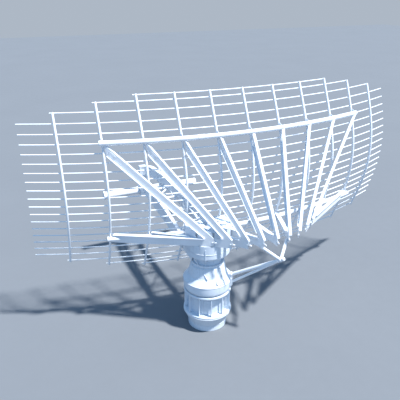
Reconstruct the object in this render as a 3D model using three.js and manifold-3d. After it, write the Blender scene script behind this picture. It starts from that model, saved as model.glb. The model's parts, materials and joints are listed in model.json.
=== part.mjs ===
// Open-grid search radar antenna: a wide, shallow reflector of horizontal rods on
// curved ribs, braced by nine tapering truss frames to a turret that turns on a pedestal.
//
// Millimetres, +Z up. The origin is the centre of the pedestal's underside, on the
// azimuth axis. The antenna looks along -Y, and the reflector's longer half reaches to -X.

import * as THREE from 'three';
import { mergeVertices } from 'three/addons/utils/BufferGeometryUtils.js';
import Module from 'manifold-3d';

const wasm = await Module();
wasm.setup();

// ---------------------------------------------------------------- driving dimensions

const GAP = 0.5; // clearance left between neighbouring solids

// Reflector: its centre, the two curvatures of its surface and the spacing of its members.
const REFLECTOR_CENTRE = new THREE.Vector3(-900, -86, 2556);
const WIDTH_FOCUS = 3968; // focal length of the horizontal parabola
const HEIGHT_FOCUS = 891; // focal length of the vertical parabola
const EDGE_EASE = 2.64e-11; // flattens the top and bottom edges
const CORNER_EASE = 3.7e-12; // flattens the four corners
const RIB_PITCH = 600;
const RIB_SPREAD = 0.00136; // the rib pitch grows slightly outwards
const RIB_RADIUS = 19;
const ROD_PITCH = 141.4;
const ROD_SPREAD = 0.00054;
const ROD_RADIUS = 10;
const EDGE_ROD_HEIGHTS = { 10: 1465, 11: 1559 }; // the two outermost rods sit closer together
const ROD_REACH = 3664; // half length of the full rods
const ROD_OVERHANG = 30; // what a short rod sticks out past its last rib
const RIB_COUNT = 11;
const ROD_COUNT = 23;
const BEAM_RADIUS = 42;
const UPPER_BEAM_ROD = 6; // the upper transverse beam runs behind this rod, counted from the centre
const LOWER_BEAM_ROD = -5.25; // and the lower one a little above the sixth rod down
const BEAM_RIB = 4; // both end at this rib, left and right of the centre

// Truss frames: the tails of the nine frames lie on a shallow arc behind the turret.
const TAIL_PITCH = 242;
const TAIL_REACH = 790;
const TAIL_SWEEP = 25.2;
const TAIL_BOTTOM = 1760;
const TAIL_DEPTH = 145;
const PLATE = 8; // thickness of webs and flanges
const UPPER_FLANGE = 46;
const LOWER_LIP = 30;
const DECK_FLANGE = 70;
const UPPER_END_DEPTH = 168; // depth of the upper strut at its beam, where it hangs from the beam's middle
const LOWER_END_DEPTH = 152; // depth of the lower strut at its beam, half above and half below it
const UPPER_SETBACK = 50; // the upper strut's lower edge stops this much earlier, short of the rib
const LOWER_SETBACK = 48; // and so does the lower strut's upper edge
const LIP_START = 150; // the lip and the deck flange start where the two struts part
const DECK_START = 165;
const CROWDED_DECK_START = 400; // on the frames that pass close by their outer neighbour's tail
const CROWDED_STEP = 3;
const TAIL_PIN_RADIUS = 12;
const TAIL_PIN_LENGTH = 55;

// Pedestal, from the ground up.
const BASE_RADIUS = 351;
const SKIRT_RADIUS = 432;
const SKIRT_START = 112;
const SKIRT_TOP = 353;
const DRUM_RADIUS = 345;
const DRUM_WALL = 12;
const DRUM_TOP = 742;
const CAGE_RADIUS = 420;
const CAGE_DEPTH = 50;
const CAGE_BARS = 12;
const CAGE_FIRST_BAR = 15; // degrees from +X, so that two bars stand evenly about the access door
const CAGE_RING_LOW = 715;
const CAGE_RING_HIGH = 760;
const MOTOR_DECK = 600;
const DECK_PLATE = 12; // thickness of the motor deck

// Azimuth drive: a 60-tooth slewing gear and a 15-tooth pinion.
const GEAR_MODULE = 6;
const GEAR_TEETH = 60;
const PINION_TEETH = 15;
const GEAR_CENTRES = (GEAR_MODULE * (GEAR_TEETH + PINION_TEETH)) / 2;
const GEAR_BOTTOM = 658;
const GEAR_WIDTH = 40;
const SHAFT_RADIUS = 17;
const HUB_RADIUS = 198;
const HUB_BORE = 110;
const HUB_TOP = 806;
const BEARING_RADIUS = 262;
const BEARING_TOP = 790;

// Turret and head.
const TURRET_RADIUS = 432;
const NECK_RADIUS = 262;
const NECK_HEIGHT = 1300;
const HEAD_RADIUS = 392;
const HEAD_TOP = 2016;
const HEAD_FLOOR = 1590;
const HEAD_FRONT = -132; // the head is cut flat here, just behind the ribs
const WAY_THROUGH = 120; // radius of the opening for cables and the feed line, through housing and head

// Boom, feed and waveguide.
const BOOM_SIDE = 272; // middle of each cheek plate, from the centre line
const BOOM_PLATE = 12;
const BOOM_FLANGE = 60;
const FEED_Y = -3122;
const FEED_Z = 1476;
const FEED_RADIUS = 80;
const FEED_LENGTH = 2184;
const DUCT_WIDTH = 100;
const DUCT_TURN = 250; // radius of the waveguide's last bend, on its centre line
const BEND_START = -FEED_Y - DUCT_TURN;
const BEND_BOTTOM = 1850;
const BEND_TOP = 2050;

// Outrigger arm.
const ARM_TIP = new THREE.Vector3(-900, 922, 1566);
const ARM_ROOT_ANGLE = 150.8; // degrees from +X
const ARM_ROOT_RADIUS = 400;
const ARM_UPPER_ROOT = 996;
const ARM_LOWER_ROOT = 830;
const ARM_BAR = 30;
const STUB_LENGTH = 75;
const TIP_STRUT_RADIUS = 26;
const TIP_STRUT_HOLD = 120; // how far along the truss frame a tip strut lands, from the frame's tail

const COARSE = 4; // sides of the slender members
const ROUND = 24; // sides of the large turned parts
const BORE_FIT = 1 / Math.cos(Math.PI / ROUND); // sets the flats of a many-sided bore at its radius

// ---------------------------------------------------------------- solids

function solid(geometry) {
  const bare = geometry.index ? geometry.clone() : geometry;
  bare.deleteAttribute('normal');
  bare.deleteAttribute('uv');
  const merged = mergeVertices(bare, 1e-3);
  return new wasm.Manifold(
    new wasm.Mesh({
      numProp: 3,
      vertProperties: new Float32Array(merged.attributes.position.array),
      triVerts: new Uint32Array(merged.index.array),
    }),
  );
}

function join(solids) {
  return solids.reduce((whole, next) => whole.add(next));
}

function cut(whole, cutters) {
  return cutters.reduce((rest, cutter) => rest.subtract(cutter), whole);
}

function largest(whole) {
  const pieces = whole.decompose();
  return pieces.reduce((best, next) => (next.volume() > best.volume() ? next : best));
}

function geometryOf(whole) {
  const mesh = whole.getMesh();
  const geometry = new THREE.BufferGeometry();
  geometry.setAttribute('position', new THREE.BufferAttribute(mesh.vertProperties, 3));
  geometry.setIndex(new THREE.BufferAttribute(mesh.triVerts, 1));
  geometry.computeVertexNormals();
  return geometry;
}

function roundSection(radius, sides) {
  const shape = new THREE.Shape();
  for (let side = 0; side < sides; side += 1) {
    const angle = (2 * Math.PI * side) / sides;
    const point = [radius * Math.cos(angle), radius * Math.sin(angle)];
    if (side === 0) shape.moveTo(...point);
    else shape.lineTo(...point);
  }
  return shape;
}

// A line through given stations, so that a swept member has a corner at each of them.
class StationLine extends THREE.Curve {
  constructor(stations) {
    super();
    this.stations = stations;
  }

  getPoint(share, target = new THREE.Vector3()) {
    const place = share * (this.stations.length - 1);
    const index = Math.min(Math.floor(place), this.stations.length - 2);
    return target.copy(this.stations[index]).lerp(this.stations[index + 1], place - index);
  }

  getPointAt(share, target) {
    return this.getPoint(share, target);
  }

  getTangentAt(share, target) {
    return this.getTangent(share, target);
  }
}

function sweptTube(stations, radius, sides) {
  return new THREE.ExtrudeGeometry(roundSection(radius, sides), {
    steps: stations.length - 1,
    extrudePath: new StationLine(stations),
    bevelEnabled: false,
  });
}

// A ring turned about Z from a closed profile of [radius, height] corners, anticlockwise.
function turned(profile, sides = ROUND) {
  const corners = [...profile, profile[0]].map((corner) => new THREE.Vector2(...corner));
  return new THREE.LatheGeometry(corners, sides).rotateX(Math.PI / 2);
}

function disc(radius, bottom, top, sides = ROUND, x = 0, y = 0) {
  const geometry = new THREE.CylinderGeometry(radius, radius, top - bottom, sides);
  return geometry.rotateX(Math.PI / 2).translate(x, y, (bottom + top) / 2);
}

function block(low, high) {
  const size = high.map((value, axis) => value - low[axis]);
  const middle = high.map((value, axis) => (value + low[axis]) / 2);
  return new THREE.BoxGeometry(...size).translate(...middle);
}

function strut(from, to, radius, sides) {
  const along = to.clone().sub(from);
  const geometry = new THREE.CylinderGeometry(radius, radius, along.length(), sides);
  const axis = new THREE.Vector3(0, 1, 0);
  const turn = new THREE.Quaternion().setFromUnitVectors(axis, along.clone().normalize());
  const middle = from.clone().add(to).multiplyScalar(0.5);
  return geometry.applyQuaternion(turn).translate(middle.x, middle.y, middle.z);
}

// A flat outline of [along, height] corners in an upright plane, thickened sideways.
// The plane runs from the origin point in the horizontal direction, and "side" is its normal.
function uprightPlate(outline, origin, direction, sideLow, sideHigh) {
  const shape = new THREE.Shape(outline.map(([along, height]) => new THREE.Vector2(along, height)));
  const geometry = new THREE.ExtrudeGeometry(shape, { depth: sideHigh - sideLow, bevelEnabled: false });
  geometry.translate(0, 0, sideLow);
  const up = new THREE.Vector3(0, 0, 1);
  const side = direction.clone().cross(up);
  const place = new THREE.Matrix4().makeBasis(direction, up, side);
  place.setPosition(origin.x, origin.y, 0);
  return geometry.applyMatrix4(place);
}

// ---------------------------------------------------------------- reflector

// Points on the reflector surface. x and z are measured from its centre, and "behind"
// moves the point off the surface along its rearward normal.
function surfacePoint(x, z, behind) {
  const depth = (x * x) / (4 * WIDTH_FOCUS) + (z * z) / (4 * HEIGHT_FOCUS) - EDGE_EASE * z ** 4
    - CORNER_EASE * x * x * z * z;
  const slopeX = x / (2 * WIDTH_FOCUS) - 2 * CORNER_EASE * x * z * z;
  const slopeZ = z / (2 * HEIGHT_FOCUS) - 4 * EDGE_EASE * z ** 3 - 2 * CORNER_EASE * x * x * z;
  const normal = new THREE.Vector3(slopeX, 1, slopeZ).normalize();
  return new THREE.Vector3(x, -depth, z).add(REFLECTOR_CENTRE).addScaledVector(normal, behind);
}

// Ribs count from -5 at the +X end to 5 at the -X end.
function ribPlace(step) {
  return -RIB_PITCH * (step + RIB_SPREAD * step ** 3);
}

// Rods count from -11 at the bottom to 11 at the top.
function rodHeight(step) {
  const size = Math.abs(step);
  const height = EDGE_ROD_HEIGHTS[size] ?? ROD_PITCH * (size + ROD_SPREAD * size ** 3);
  return Math.sign(step) * height;
}

const LAST_RIB = (RIB_COUNT - 1) / 2;
const LAST_ROD = (ROD_COUNT - 1) / 2;

// The grid's corners are stepped: each outermost rod spans one rib less on both sides.
function lastRibOfRod(step) {
  return Math.min(LAST_RIB, LAST_RIB + 9 - Math.abs(step));
}

function lastRodOfRib(step) {
  return Math.min(LAST_ROD, LAST_ROD + 3 - Math.abs(step));
}

function rodEnd(step) {
  const full = Math.abs(step) < 9;
  return full ? ROD_REACH : Math.abs(ribPlace(lastRibOfRod(step))) + ROD_OVERHANG;
}

function rod(step, grow = 0) {
  const last = lastRibOfRod(step);
  const places = [rodEnd(step)];
  for (let rib = -last; rib <= last; rib += 1) places.push(ribPlace(rib));
  places.push(-rodEnd(step));
  const stations = places.map((x) => surfacePoint(x, rodHeight(step), -ROD_RADIUS - GAP));
  return sweptTube(stations, ROD_RADIUS + grow, COARSE);
}

function rib(step) {
  const last = lastRodOfRib(step);
  const stations = [];
  for (let level = -last; level <= last; level += 1) {
    stations.push(surfacePoint(ribPlace(step), rodHeight(level), RIB_RADIUS + GAP));
  }
  return sweptTube(stations, RIB_RADIUS, COARSE);
}

const BEAM_BEHIND = 2 * RIB_RADIUS + 3 * GAP + BEAM_RADIUS;

function beam(level, grow = 0) {
  const stations = [];
  for (let step = -BEAM_RIB; step <= BEAM_RIB; step += 1) {
    stations.push(surfacePoint(ribPlace(step), rodHeight(level), BEAM_BEHIND));
  }
  const reach = 40 + grow;
  const first = stations[0].clone().sub(stations[1]).normalize();
  const last = stations.at(-1).clone().sub(stations.at(-2)).normalize();
  stations[0].addScaledVector(first, reach);
  stations[stations.length - 1].addScaledVector(last, reach);
  return sweptTube(stations, BEAM_RADIUS + grow, 2 * COARSE);
}

// ---------------------------------------------------------------- truss frames

const upperBeamCutter = solid(beam(UPPER_BEAM_ROD, GAP));
const lowerBeamCutter = solid(beam(LOWER_BEAM_ROD, GAP));

function trussTail(step) {
  const reach = TAIL_REACH - TAIL_SWEEP * step * step;
  return new THREE.Vector3(REFLECTOR_CENTRE.x - TAIL_PITCH * step, reach, TAIL_BOTTOM);
}

// One frame is an upright V lying on its side: a flanged upper strut and a deep lower
// strut that meet at the tail. Distances along it are measured from the tail.
function truss(step, grow = 0) {
  const tail = trussTail(step);
  const upperEnd = surfacePoint(ribPlace(step), rodHeight(UPPER_BEAM_ROD), BEAM_BEHIND);
  const lowerEnd = surfacePoint(ribPlace(step), rodHeight(LOWER_BEAM_ROD), BEAM_BEHIND);
  const forward = upperEnd.clone().sub(tail).setZ(0);
  const length = forward.length() - 20;
  const direction = forward.normalize();
  const tailTop = TAIL_BOTTOM + TAIL_DEPTH;
  const upperHigh = upperEnd.z;
  const upperLow = upperEnd.z - UPPER_END_DEPTH;
  const lowerHigh = lowerEnd.z + LOWER_END_DEPTH / 2;
  const lowerLow = lowerEnd.z - LOWER_END_DEPTH / 2;
  const slope = (upperHigh - tailTop) / length;
  const skin = PLATE * Math.hypot(1, slope);
  const deckSlope = (lowerHigh - tailTop) / length;
  const half = PLATE / 2 + grow;
  const end = -grow;
  const edge = grow * Math.hypot(1, slope);

  // A plate between two sloping edges, each given by its heights at the plate's start and at
  // the frame's full length. The setbacks shorten its lower and upper edge.
  const plate = (start, low, high, sideLow, sideHigh, lowSetback = 0, highSetback = 0) => {
    const corner = ([startHeight, endHeight], setback) => {
      const rise = (endHeight - startHeight) / (length - start);
      return [length - setback, endHeight - setback * rise];
    };
    const outline = [[start, low[0]], corner(low, lowSetback), corner(high, highSetback), [start, high[0]]];
    return solid(uprightPlate(outline, tail, direction, sideLow, sideHigh));
  };
  const upperTop = [tailTop + edge, upperHigh + edge];
  const upperBottom = [TAIL_BOTTOM - edge, upperLow - edge];
  const upperWeb = plate(end, upperBottom, upperTop, -half, half, UPPER_SETBACK);
  const upperFlange = plate(
    end,
    [tailTop - skin - edge, upperHigh - skin - edge],
    upperTop,
    -half,
    UPPER_FLANGE + grow,
  );
  const lipHeight = TAIL_BOTTOM + slope * LIP_START;
  const lowerLip = plate(
    LIP_START,
    [lipHeight - edge, upperLow - edge],
    [lipHeight + skin + edge, upperLow + skin + edge],
    -LOWER_LIP - grow,
    half,
    UPPER_SETBACK,
    UPPER_SETBACK,
  );
  const lowerTop = [tailTop + grow, lowerHigh + grow];
  const lowerBottom = [TAIL_BOTTOM - grow, lowerLow - grow];
  const lowerWeb = plate(end, lowerBottom, lowerTop, -half, half, 0, LOWER_SETBACK);
  const deckStart = Math.abs(step) === CROWDED_STEP ? CROWDED_DECK_START : DECK_START;
  const deckHeight = tailTop + deckSlope * deckStart;
  const deckHalf = DECK_FLANGE / 2 + grow;
  const deckFlange = plate(
    deckStart - grow,
    [deckHeight - PLATE - grow, lowerHigh - PLATE - grow],
    [deckHeight + grow, lowerHigh + grow],
    -deckHalf,
    deckHalf,
    LOWER_SETBACK,
    LOWER_SETBACK,
  );
  const pinFoot = tail.clone().setZ(TAIL_BOTTOM + TAIL_DEPTH / 2);
  const pin = strut(
    pinFoot.clone().addScaledVector(direction, 30),
    pinFoot.clone().addScaledVector(direction, -TAIL_PIN_LENGTH - grow),
    TAIL_PIN_RADIUS + grow,
    8,
  );
  return join([upperWeb, upperFlange, lowerLip, lowerWeb, deckFlange, solid(pin)]);
}

function finishedTruss(step) {
  return largest(cut(truss(step), [upperBeamCutter, lowerBeamCutter]));
}

// ---------------------------------------------------------------- pedestal

function pedestalBase() {
  const wall = 20;
  const shell = turned([
    [250, 0], [BASE_RADIUS, 0], [BASE_RADIUS, SKIRT_START], [SKIRT_RADIUS, 300], [SKIRT_RADIUS, 338],
    [SKIRT_RADIUS - 12, SKIRT_TOP], [300, SKIRT_TOP], [300, SKIRT_TOP - wall], [400, SKIRT_TOP - wall],
    [400, 305], [BASE_RADIUS - wall, SKIRT_START + 10], [BASE_RADIUS - wall, 25], [250, 25],
  ]);
  return solid(shell).add(solid(disc(260, 0, 25)));
}

const DOOR_ARC = 26; // degrees of the drum's wall that the doorway takes
const DOOR_LOW = 420;
const DOOR_HIGH = 580;
const DOOR_GAP = 0.4; // degrees

// A curved panel of the drum's wall, centred on the -Y side.
function wallPanel(arc, inner, outer, bottom, top) {
  const half = THREE.MathUtils.degToRad(arc / 2);
  const middle = -Math.PI / 2;
  const shape = new THREE.Shape();
  shape.absarc(0, 0, outer, middle - half, middle + half, false);
  shape.absarc(0, 0, inner, middle + half, middle - half, true);
  const depth = top - bottom;
  const geometry = new THREE.ExtrudeGeometry(shape, { depth, bevelEnabled: false, curveSegments: 4 });
  return geometry.translate(0, 0, bottom);
}

function pedestalDrum() {
  const inner = DRUM_RADIUS - DRUM_WALL;
  const foot = SKIRT_TOP + GAP;
  const topOpening = (HUB_RADIUS + 1.5) * BORE_FIT;
  const lid = DRUM_TOP - 18;
  const shell = turned([
    [inner, foot], [DRUM_RADIUS, foot], [DRUM_RADIUS, DRUM_TOP], [topOpening, DRUM_TOP], [topOpening, lid],
    [inner, lid],
  ]);
  const deckEdge = inner + 4;
  const deckTop = MOTOR_DECK + DECK_PLATE;
  const deckOpening = 75;
  const deck = turned([
    [deckOpening, MOTOR_DECK], [deckEdge, MOTOR_DECK], [deckEdge, deckTop], [deckOpening, deckTop],
  ]);
  const shaftHole = disc(SHAFT_RADIUS + 3, MOTOR_DECK - 20, MOTOR_DECK + 30, 16, GEAR_CENTRES, 0);
  const doorway = wallPanel(DOOR_ARC, inner - 20, DRUM_RADIUS + 20, DOOR_LOW, DOOR_HIGH);
  return cut(join([solid(shell), solid(deck)]), [solid(shaftHole), solid(doorway)]);
}

function doorHinge() {
  const angle = THREE.MathUtils.degToRad(-90 - DOOR_ARC / 2);
  const radius = DRUM_RADIUS + 8;
  return new THREE.Vector2(radius * Math.cos(angle), radius * Math.sin(angle));
}

// The door fills the doorway and turns on a barrel that stands just off the drum.
function accessDoor() {
  const arc = DOOR_ARC - 2 * DOOR_GAP;
  const panel = wallPanel(arc, DRUM_RADIUS - 6, DRUM_RADIUS + 3, DOOR_LOW + 2, DOOR_HIGH - 2);
  const hinge = doorHinge();
  const barrel = disc(5, DOOR_LOW + 20, DOOR_HIGH - 20, 10, hinge.x, hinge.y);
  const leaf = block([hinge.x, hinge.y - 3, DOOR_LOW + 20], [hinge.x + 26, hinge.y + 3, DOOR_HIGH - 20]);
  const handle = block([50, -DRUM_RADIUS - 14, 480], [62, -DRUM_RADIUS + 8, 530]);
  return join([solid(panel), solid(barrel), solid(leaf), solid(handle)]);
}

function guardCage() {
  const foot = SKIRT_TOP + GAP;
  const ringInner = CAGE_RADIUS - 28;
  const ringOuter = CAGE_RADIUS + 6;
  const ring = turned([
    [ringInner, CAGE_RING_LOW], [CAGE_RADIUS, CAGE_RING_LOW], [ringOuter, CAGE_RING_LOW + 12],
    [ringOuter, CAGE_RING_HIGH - 10], [CAGE_RADIUS, CAGE_RING_HIGH], [ringInner, CAGE_RING_HIGH],
  ]);
  const bars = [];
  for (let index = 0; index < CAGE_BARS; index += 1) {
    const bar = block([CAGE_RADIUS - CAGE_DEPTH, -8, foot], [CAGE_RADIUS - 1, 8, CAGE_RING_LOW + 10]);
    bar.rotateZ(THREE.MathUtils.degToRad(CAGE_FIRST_BAR + (360 * index) / CAGE_BARS));
    bars.push(solid(bar));
  }
  return join([solid(ring), ...bars]);
}

// ---------------------------------------------------------------- azimuth drive

// Straight-flanked teeth. "turn" is the angle of one tooth's middle.
function toothedOutline(teeth, turn) {
  const pitchRadius = (GEAR_MODULE * teeth) / 2;
  const step = (2 * Math.PI) / teeth;
  const corners = [];
  for (let tooth = 0; tooth < teeth; tooth += 1) {
    const middle = turn + tooth * step;
    const place = (radius, halfThickness, hand) => {
      const angle = middle + (hand * halfThickness) / radius;
      corners.push(new THREE.Vector2(radius * Math.cos(angle), radius * Math.sin(angle)));
    };
    const root = pitchRadius - 1.25 * GEAR_MODULE;
    const tip = pitchRadius + GEAR_MODULE;
    place(root, 0.95 * GEAR_MODULE, -1);
    place(tip, 0.3 * GEAR_MODULE, -1);
    place(tip, 0.3 * GEAR_MODULE, 1);
    place(root, 0.95 * GEAR_MODULE, 1);
  }
  return new THREE.Shape(corners);
}

function slewingGear() {
  const rimBore = 140;
  const neck = 150; // the hub is narrower inside the toothed rim
  const neckFoot = GEAR_BOTTOM - 3;
  const flangeBottom = HUB_TOP - 14;
  const outline = toothedOutline(GEAR_TEETH, 0);
  outline.holes.push(new THREE.Path().absarc(0, 0, rimBore, 0, 2 * Math.PI, true));
  const depth = GEAR_WIDTH;
  const teeth = new THREE.ExtrudeGeometry(outline, { depth, bevelEnabled: false, curveSegments: 16 });
  teeth.translate(0, 0, GEAR_BOTTOM);
  const hub = turned([
    [HUB_BORE, neckFoot], [neck, neckFoot], [neck, 700], [HUB_RADIUS, 716], [HUB_RADIUS, flangeBottom],
    [BEARING_RADIUS, flangeBottom], [BEARING_RADIUS, HUB_TOP], [HUB_BORE, HUB_TOP],
  ]);
  return join([solid(teeth), solid(hub)]);
}

function drivePinion() {
  const outline = toothedOutline(PINION_TEETH, Math.PI + Math.PI / PINION_TEETH);
  const teeth = new THREE.ExtrudeGeometry(outline, { depth: GEAR_WIDTH + 4, bevelEnabled: false });
  teeth.translate(GEAR_CENTRES, 0, GEAR_BOTTOM - 2);
  const shaft = disc(SHAFT_RADIUS, MOTOR_DECK, GEAR_BOTTOM + 20, 16, GEAR_CENTRES, 0);
  return join([solid(teeth), solid(shaft)]);
}

function driveMotor() {
  const body = disc(68, 430, MOTOR_DECK - 10, 20, GEAR_CENTRES, 0);
  const flange = disc(85, MOTOR_DECK - 12, MOTOR_DECK - GAP, 20, GEAR_CENTRES, 0);
  const brake = disc(45, 390, 432, 16, GEAR_CENTRES, 0);
  return join([solid(body), solid(flange), solid(brake)]);
}

function bearingRing() {
  const inner = (HUB_RADIUS + 1) * BORE_FIT;
  const foot = DRUM_TOP + GAP;
  return turned([[inner, foot], [BEARING_RADIUS, foot], [BEARING_RADIUS, BEARING_TOP], [inner, BEARING_TOP]]);
}

function rotaryJoint() {
  const foot = MOTOR_DECK + DECK_PLATE + GAP;
  const [bore, barrel, flange] = [25, 62, 95];
  const top = 850;
  const shoulder = foot + 10;
  return turned(
    [[bore, foot], [flange, foot], [flange, shoulder], [barrel, shoulder], [barrel, top], [bore, top]],
    20,
  );
}

// ---------------------------------------------------------------- turret

// The housing's outside, from the skirt over the bearing up to the neck's flange.
const HOUSING_OUTSIDE = [
  [390, 778], [404, 778], [428, 820], [TURRET_RADIUS, 872], [TURRET_RADIUS, 960], [345, 1075], [300, 1250],
  [NECK_RADIUS, NECK_HEIGHT],
];

function turretHousing() {
  const floor = HUB_TOP + GAP;
  return turned([
    [WAY_THROUGH, floor], [390, floor], ...HOUSING_OUTSIDE, [NECK_RADIUS - 16, NECK_HEIGHT], [284, 1244],
    [328, 1068], [416, 953], [416, 880], [412, floor + 14], [WAY_THROUGH, floor + 14],
  ]);
}

// The head is cut back where the first truss frame passes it, so that the frame's web shows.
function behindFirstTruss() {
  const tail = trussTail(-BEAM_RIB);
  const beamPoint = surfacePoint(ribPlace(-BEAM_RIB), rodHeight(LOWER_BEAM_ROD), BEAM_BEHIND);
  const direction = beamPoint.sub(tail).setZ(0).normalize();
  const [low, high] = [TAIL_BOTTOM - 8, HEAD_TOP + 10];
  const outline = [[-200, low], [600, low], [600, high], [-200, high]];
  return solid(uprightPlate(outline, tail, direction, -300, PLATE / 2 + 2));
}

function turretHead() {
  const foot = NECK_HEIGHT + GAP;
  const wall = 14;
  const floor = HEAD_FLOOR;
  const bowl = turned([
    [WAY_THROUGH, foot], [NECK_RADIUS - 4, foot], [235, 1390], [385, 1490], [HEAD_RADIUS, 1512],
    [HEAD_RADIUS, floor + 4], [HEAD_RADIUS - wall, floor + 4], [HEAD_RADIUS - wall, 1518], [375, 1502],
    [221, 1398], [236, foot + wall], [WAY_THROUGH, foot + wall],
  ]);
  const drum = solid(disc(HEAD_RADIUS, floor, HEAD_TOP));
  const room = solid(disc(HEAD_RADIUS - wall, floor + wall, HEAD_TOP - wall));
  const behindFront = solid(block([-500, HEAD_FRONT, floor + wall], [500, 500, HEAD_TOP + 10]));
  const lowerBand = solid(block([-500, -500, floor - 10], [500, 500, floor + wall]));
  const roomBehindFront = solid(block([-500, HEAD_FRONT + wall, floor], [500, 500, HEAD_TOP]));
  const kept = drum.intersect(behindFront.add(lowerBand));
  const shell = kept.subtract(room.intersect(roomBehindFront));
  const trusses = [-4, -3, -2, -1].map((step) => truss(step, 2));
  const wayUp = solid(disc(60, floor - 20, floor + 40, 16));
  return largest(cut(solid(bowl).add(shell), [...trusses, behindFirstTruss(), wayUp]));
}

// ---------------------------------------------------------------- boom and feed

// Upper and lower edge of a cheek plate, from the turret to the feed, as [y, z] corners.
const CHEEK_TOP = [[-60, 1478], [-1400, 1698], [-2250, 1778], [-2850, 1700], [-3180, 1600]];
const CHEEK_BOTTOM = [
  [-3230, 1560], [-3252, 1476], [-3200, 1372], [-3060, 1360], [-2550, 1520], [-1440, 1434], [-540, 1330],
  [-60, 1290],
];
const RUNGS = [[-700, 1480], [-1400, 1560], [-2100, 1640], [-2700, 1610]]; // places of the rungs, as [y, z]
const RUNG_RADIUS = 24;
const BRACE_RADIUS = 18;

function cheekPlate(hand) {
  const forward = new THREE.Vector3(0, -1, 0);
  const along = ([y, z]) => [-y, z];
  const origin = new THREE.Vector3(hand * BOOM_SIDE, 0, 0);
  const half = BOOM_PLATE / 2;
  const outline = [...CHEEK_BOTTOM, ...CHEEK_TOP].map(along).reverse();
  const web = uprightPlate(outline, origin, forward, -half, half);
  const upperEdge = CHEEK_TOP.map(along);
  const strip = [...upperEdge, ...upperEdge.map(([y, z]) => [y, z - PLATE]).reverse()].reverse();
  const low = hand > 0 ? -half : -BOOM_FLANGE;
  const high = hand > 0 ? BOOM_FLANGE : half;
  const flange = uprightPlate(strip, origin, forward, low, high);
  return solid(web).add(solid(flange));
}

// Room for the feed tube in the pieces that hold it.
function feedRoom() {
  const end = new THREE.Vector3(FEED_LENGTH / 2, FEED_Y, FEED_Z);
  return solid(strut(end.clone().setX(-end.x), end, FEED_RADIUS + 2, ROUND));
}

// Round rungs join the two cheeks, and a brace crosses each bay between two rungs.
function boom() {
  const end = (hand, [y, z]) => new THREE.Vector3(hand * BOOM_SIDE, y, z);
  const rungs = RUNGS.map((place) => solid(strut(end(-1, place), end(1, place), RUNG_RADIUS, 8)));
  const braces = RUNGS.slice(1).map((place, index) => {
    const hand = index % 2 === 0 ? 1 : -1;
    return solid(strut(end(hand, RUNGS[index]), end(-hand, place), BRACE_RADIUS, 6));
  });
  const rods = [-7, -8, -9].map((step) => solid(rod(step, 3)));
  const headRoom = solid(disc(HEAD_RADIUS + GAP, 1440, HEAD_TOP));
  const neckRoom = solid(turned([
    [100, 1200], [300, 1200], [266, 1300], [242, 1392], [402, 1496], [100, 1496],
  ]));
  const frame = join([cheekPlate(1), cheekPlate(-1), ...rungs, ...braces]);
  return largest(cut(frame, [...rods, headRoom, neckRoom, feedRoom()]));
}

// A thin-walled line feed with a lipped end, its axis across the antenna.
function feedTube() {
  const end = FEED_LENGTH;
  const wall = 5;
  const inside = FEED_RADIUS - wall;
  const [plug, collar, lip] = [20, 84, 96]; // radii of the end openings, the far collar and the near lip
  const tube = turned([
    [plug, 0], [collar, 0], [collar, 24], [FEED_RADIUS, 24], [FEED_RADIUS, end - 30], [lip, end - 30],
    [lip, end], [plug, end], [plug, end - wall], [inside, end - wall], [inside, wall], [plug, wall],
  ], 20);
  return tube.rotateY(Math.PI / 2).translate(-FEED_LENGTH / 2, FEED_Y, FEED_Z);
}

// Lower and upper side of the waveguide's run, from the head to the bend and back, as
// [forward, height] corners.
const DUCT_UNDERSIDE = [
  [-60, HEAD_TOP + 2], [300, HEAD_TOP + 2], [1500, 1990], [2200, 1935], [BEND_START, BEND_BOTTOM],
];
const DUCT_TOP_SIDE = [
  [BEND_START, BEND_TOP], [2200, 2130], [1500, 2130], [300, HEAD_TOP + 96], [-60, HEAD_TOP + 96],
];

// The waveguide leaves the head's top, runs forward over the boom, deepens, turns
// sideways in a round bend and drops onto the feed.
function waveguide() {
  const half = DUCT_WIDTH / 2;
  const forward = new THREE.Vector3(0, -1, 0);
  const outline = [...DUCT_UNDERSIDE, ...DUCT_TOP_SIDE];
  const run = uprightPlate(outline, new THREE.Vector3(), forward, -half, half);
  const bendShape = new THREE.Shape();
  bendShape.absarc(0, 0, DUCT_TURN + half, Math.PI, 1.5 * Math.PI, false);
  bendShape.absarc(0, 0, DUCT_TURN - half, 1.5 * Math.PI, Math.PI, true);
  const depth = BEND_TOP - BEND_BOTTOM;
  const bend = new THREE.ExtrudeGeometry(bendShape, { depth, bevelEnabled: false, curveSegments: 10 });
  bend.translate(DUCT_TURN, -BEND_START, BEND_BOTTOM);
  const dropLow = [DUCT_TURN - 1.5 * DUCT_WIDTH, FEED_Y - half, FEED_Z];
  const dropHigh = [DUCT_TURN - 0.5 * DUCT_WIDTH, FEED_Y + half, BEND_TOP];
  const whole = join([solid(run), solid(bend), solid(block(dropLow, dropHigh))]);
  return largest(cut(whole, [feedRoom(), solid(rod(-3, 2)), solid(rod(-4, 2))]));
}

// ---------------------------------------------------------------- outrigger

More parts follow.
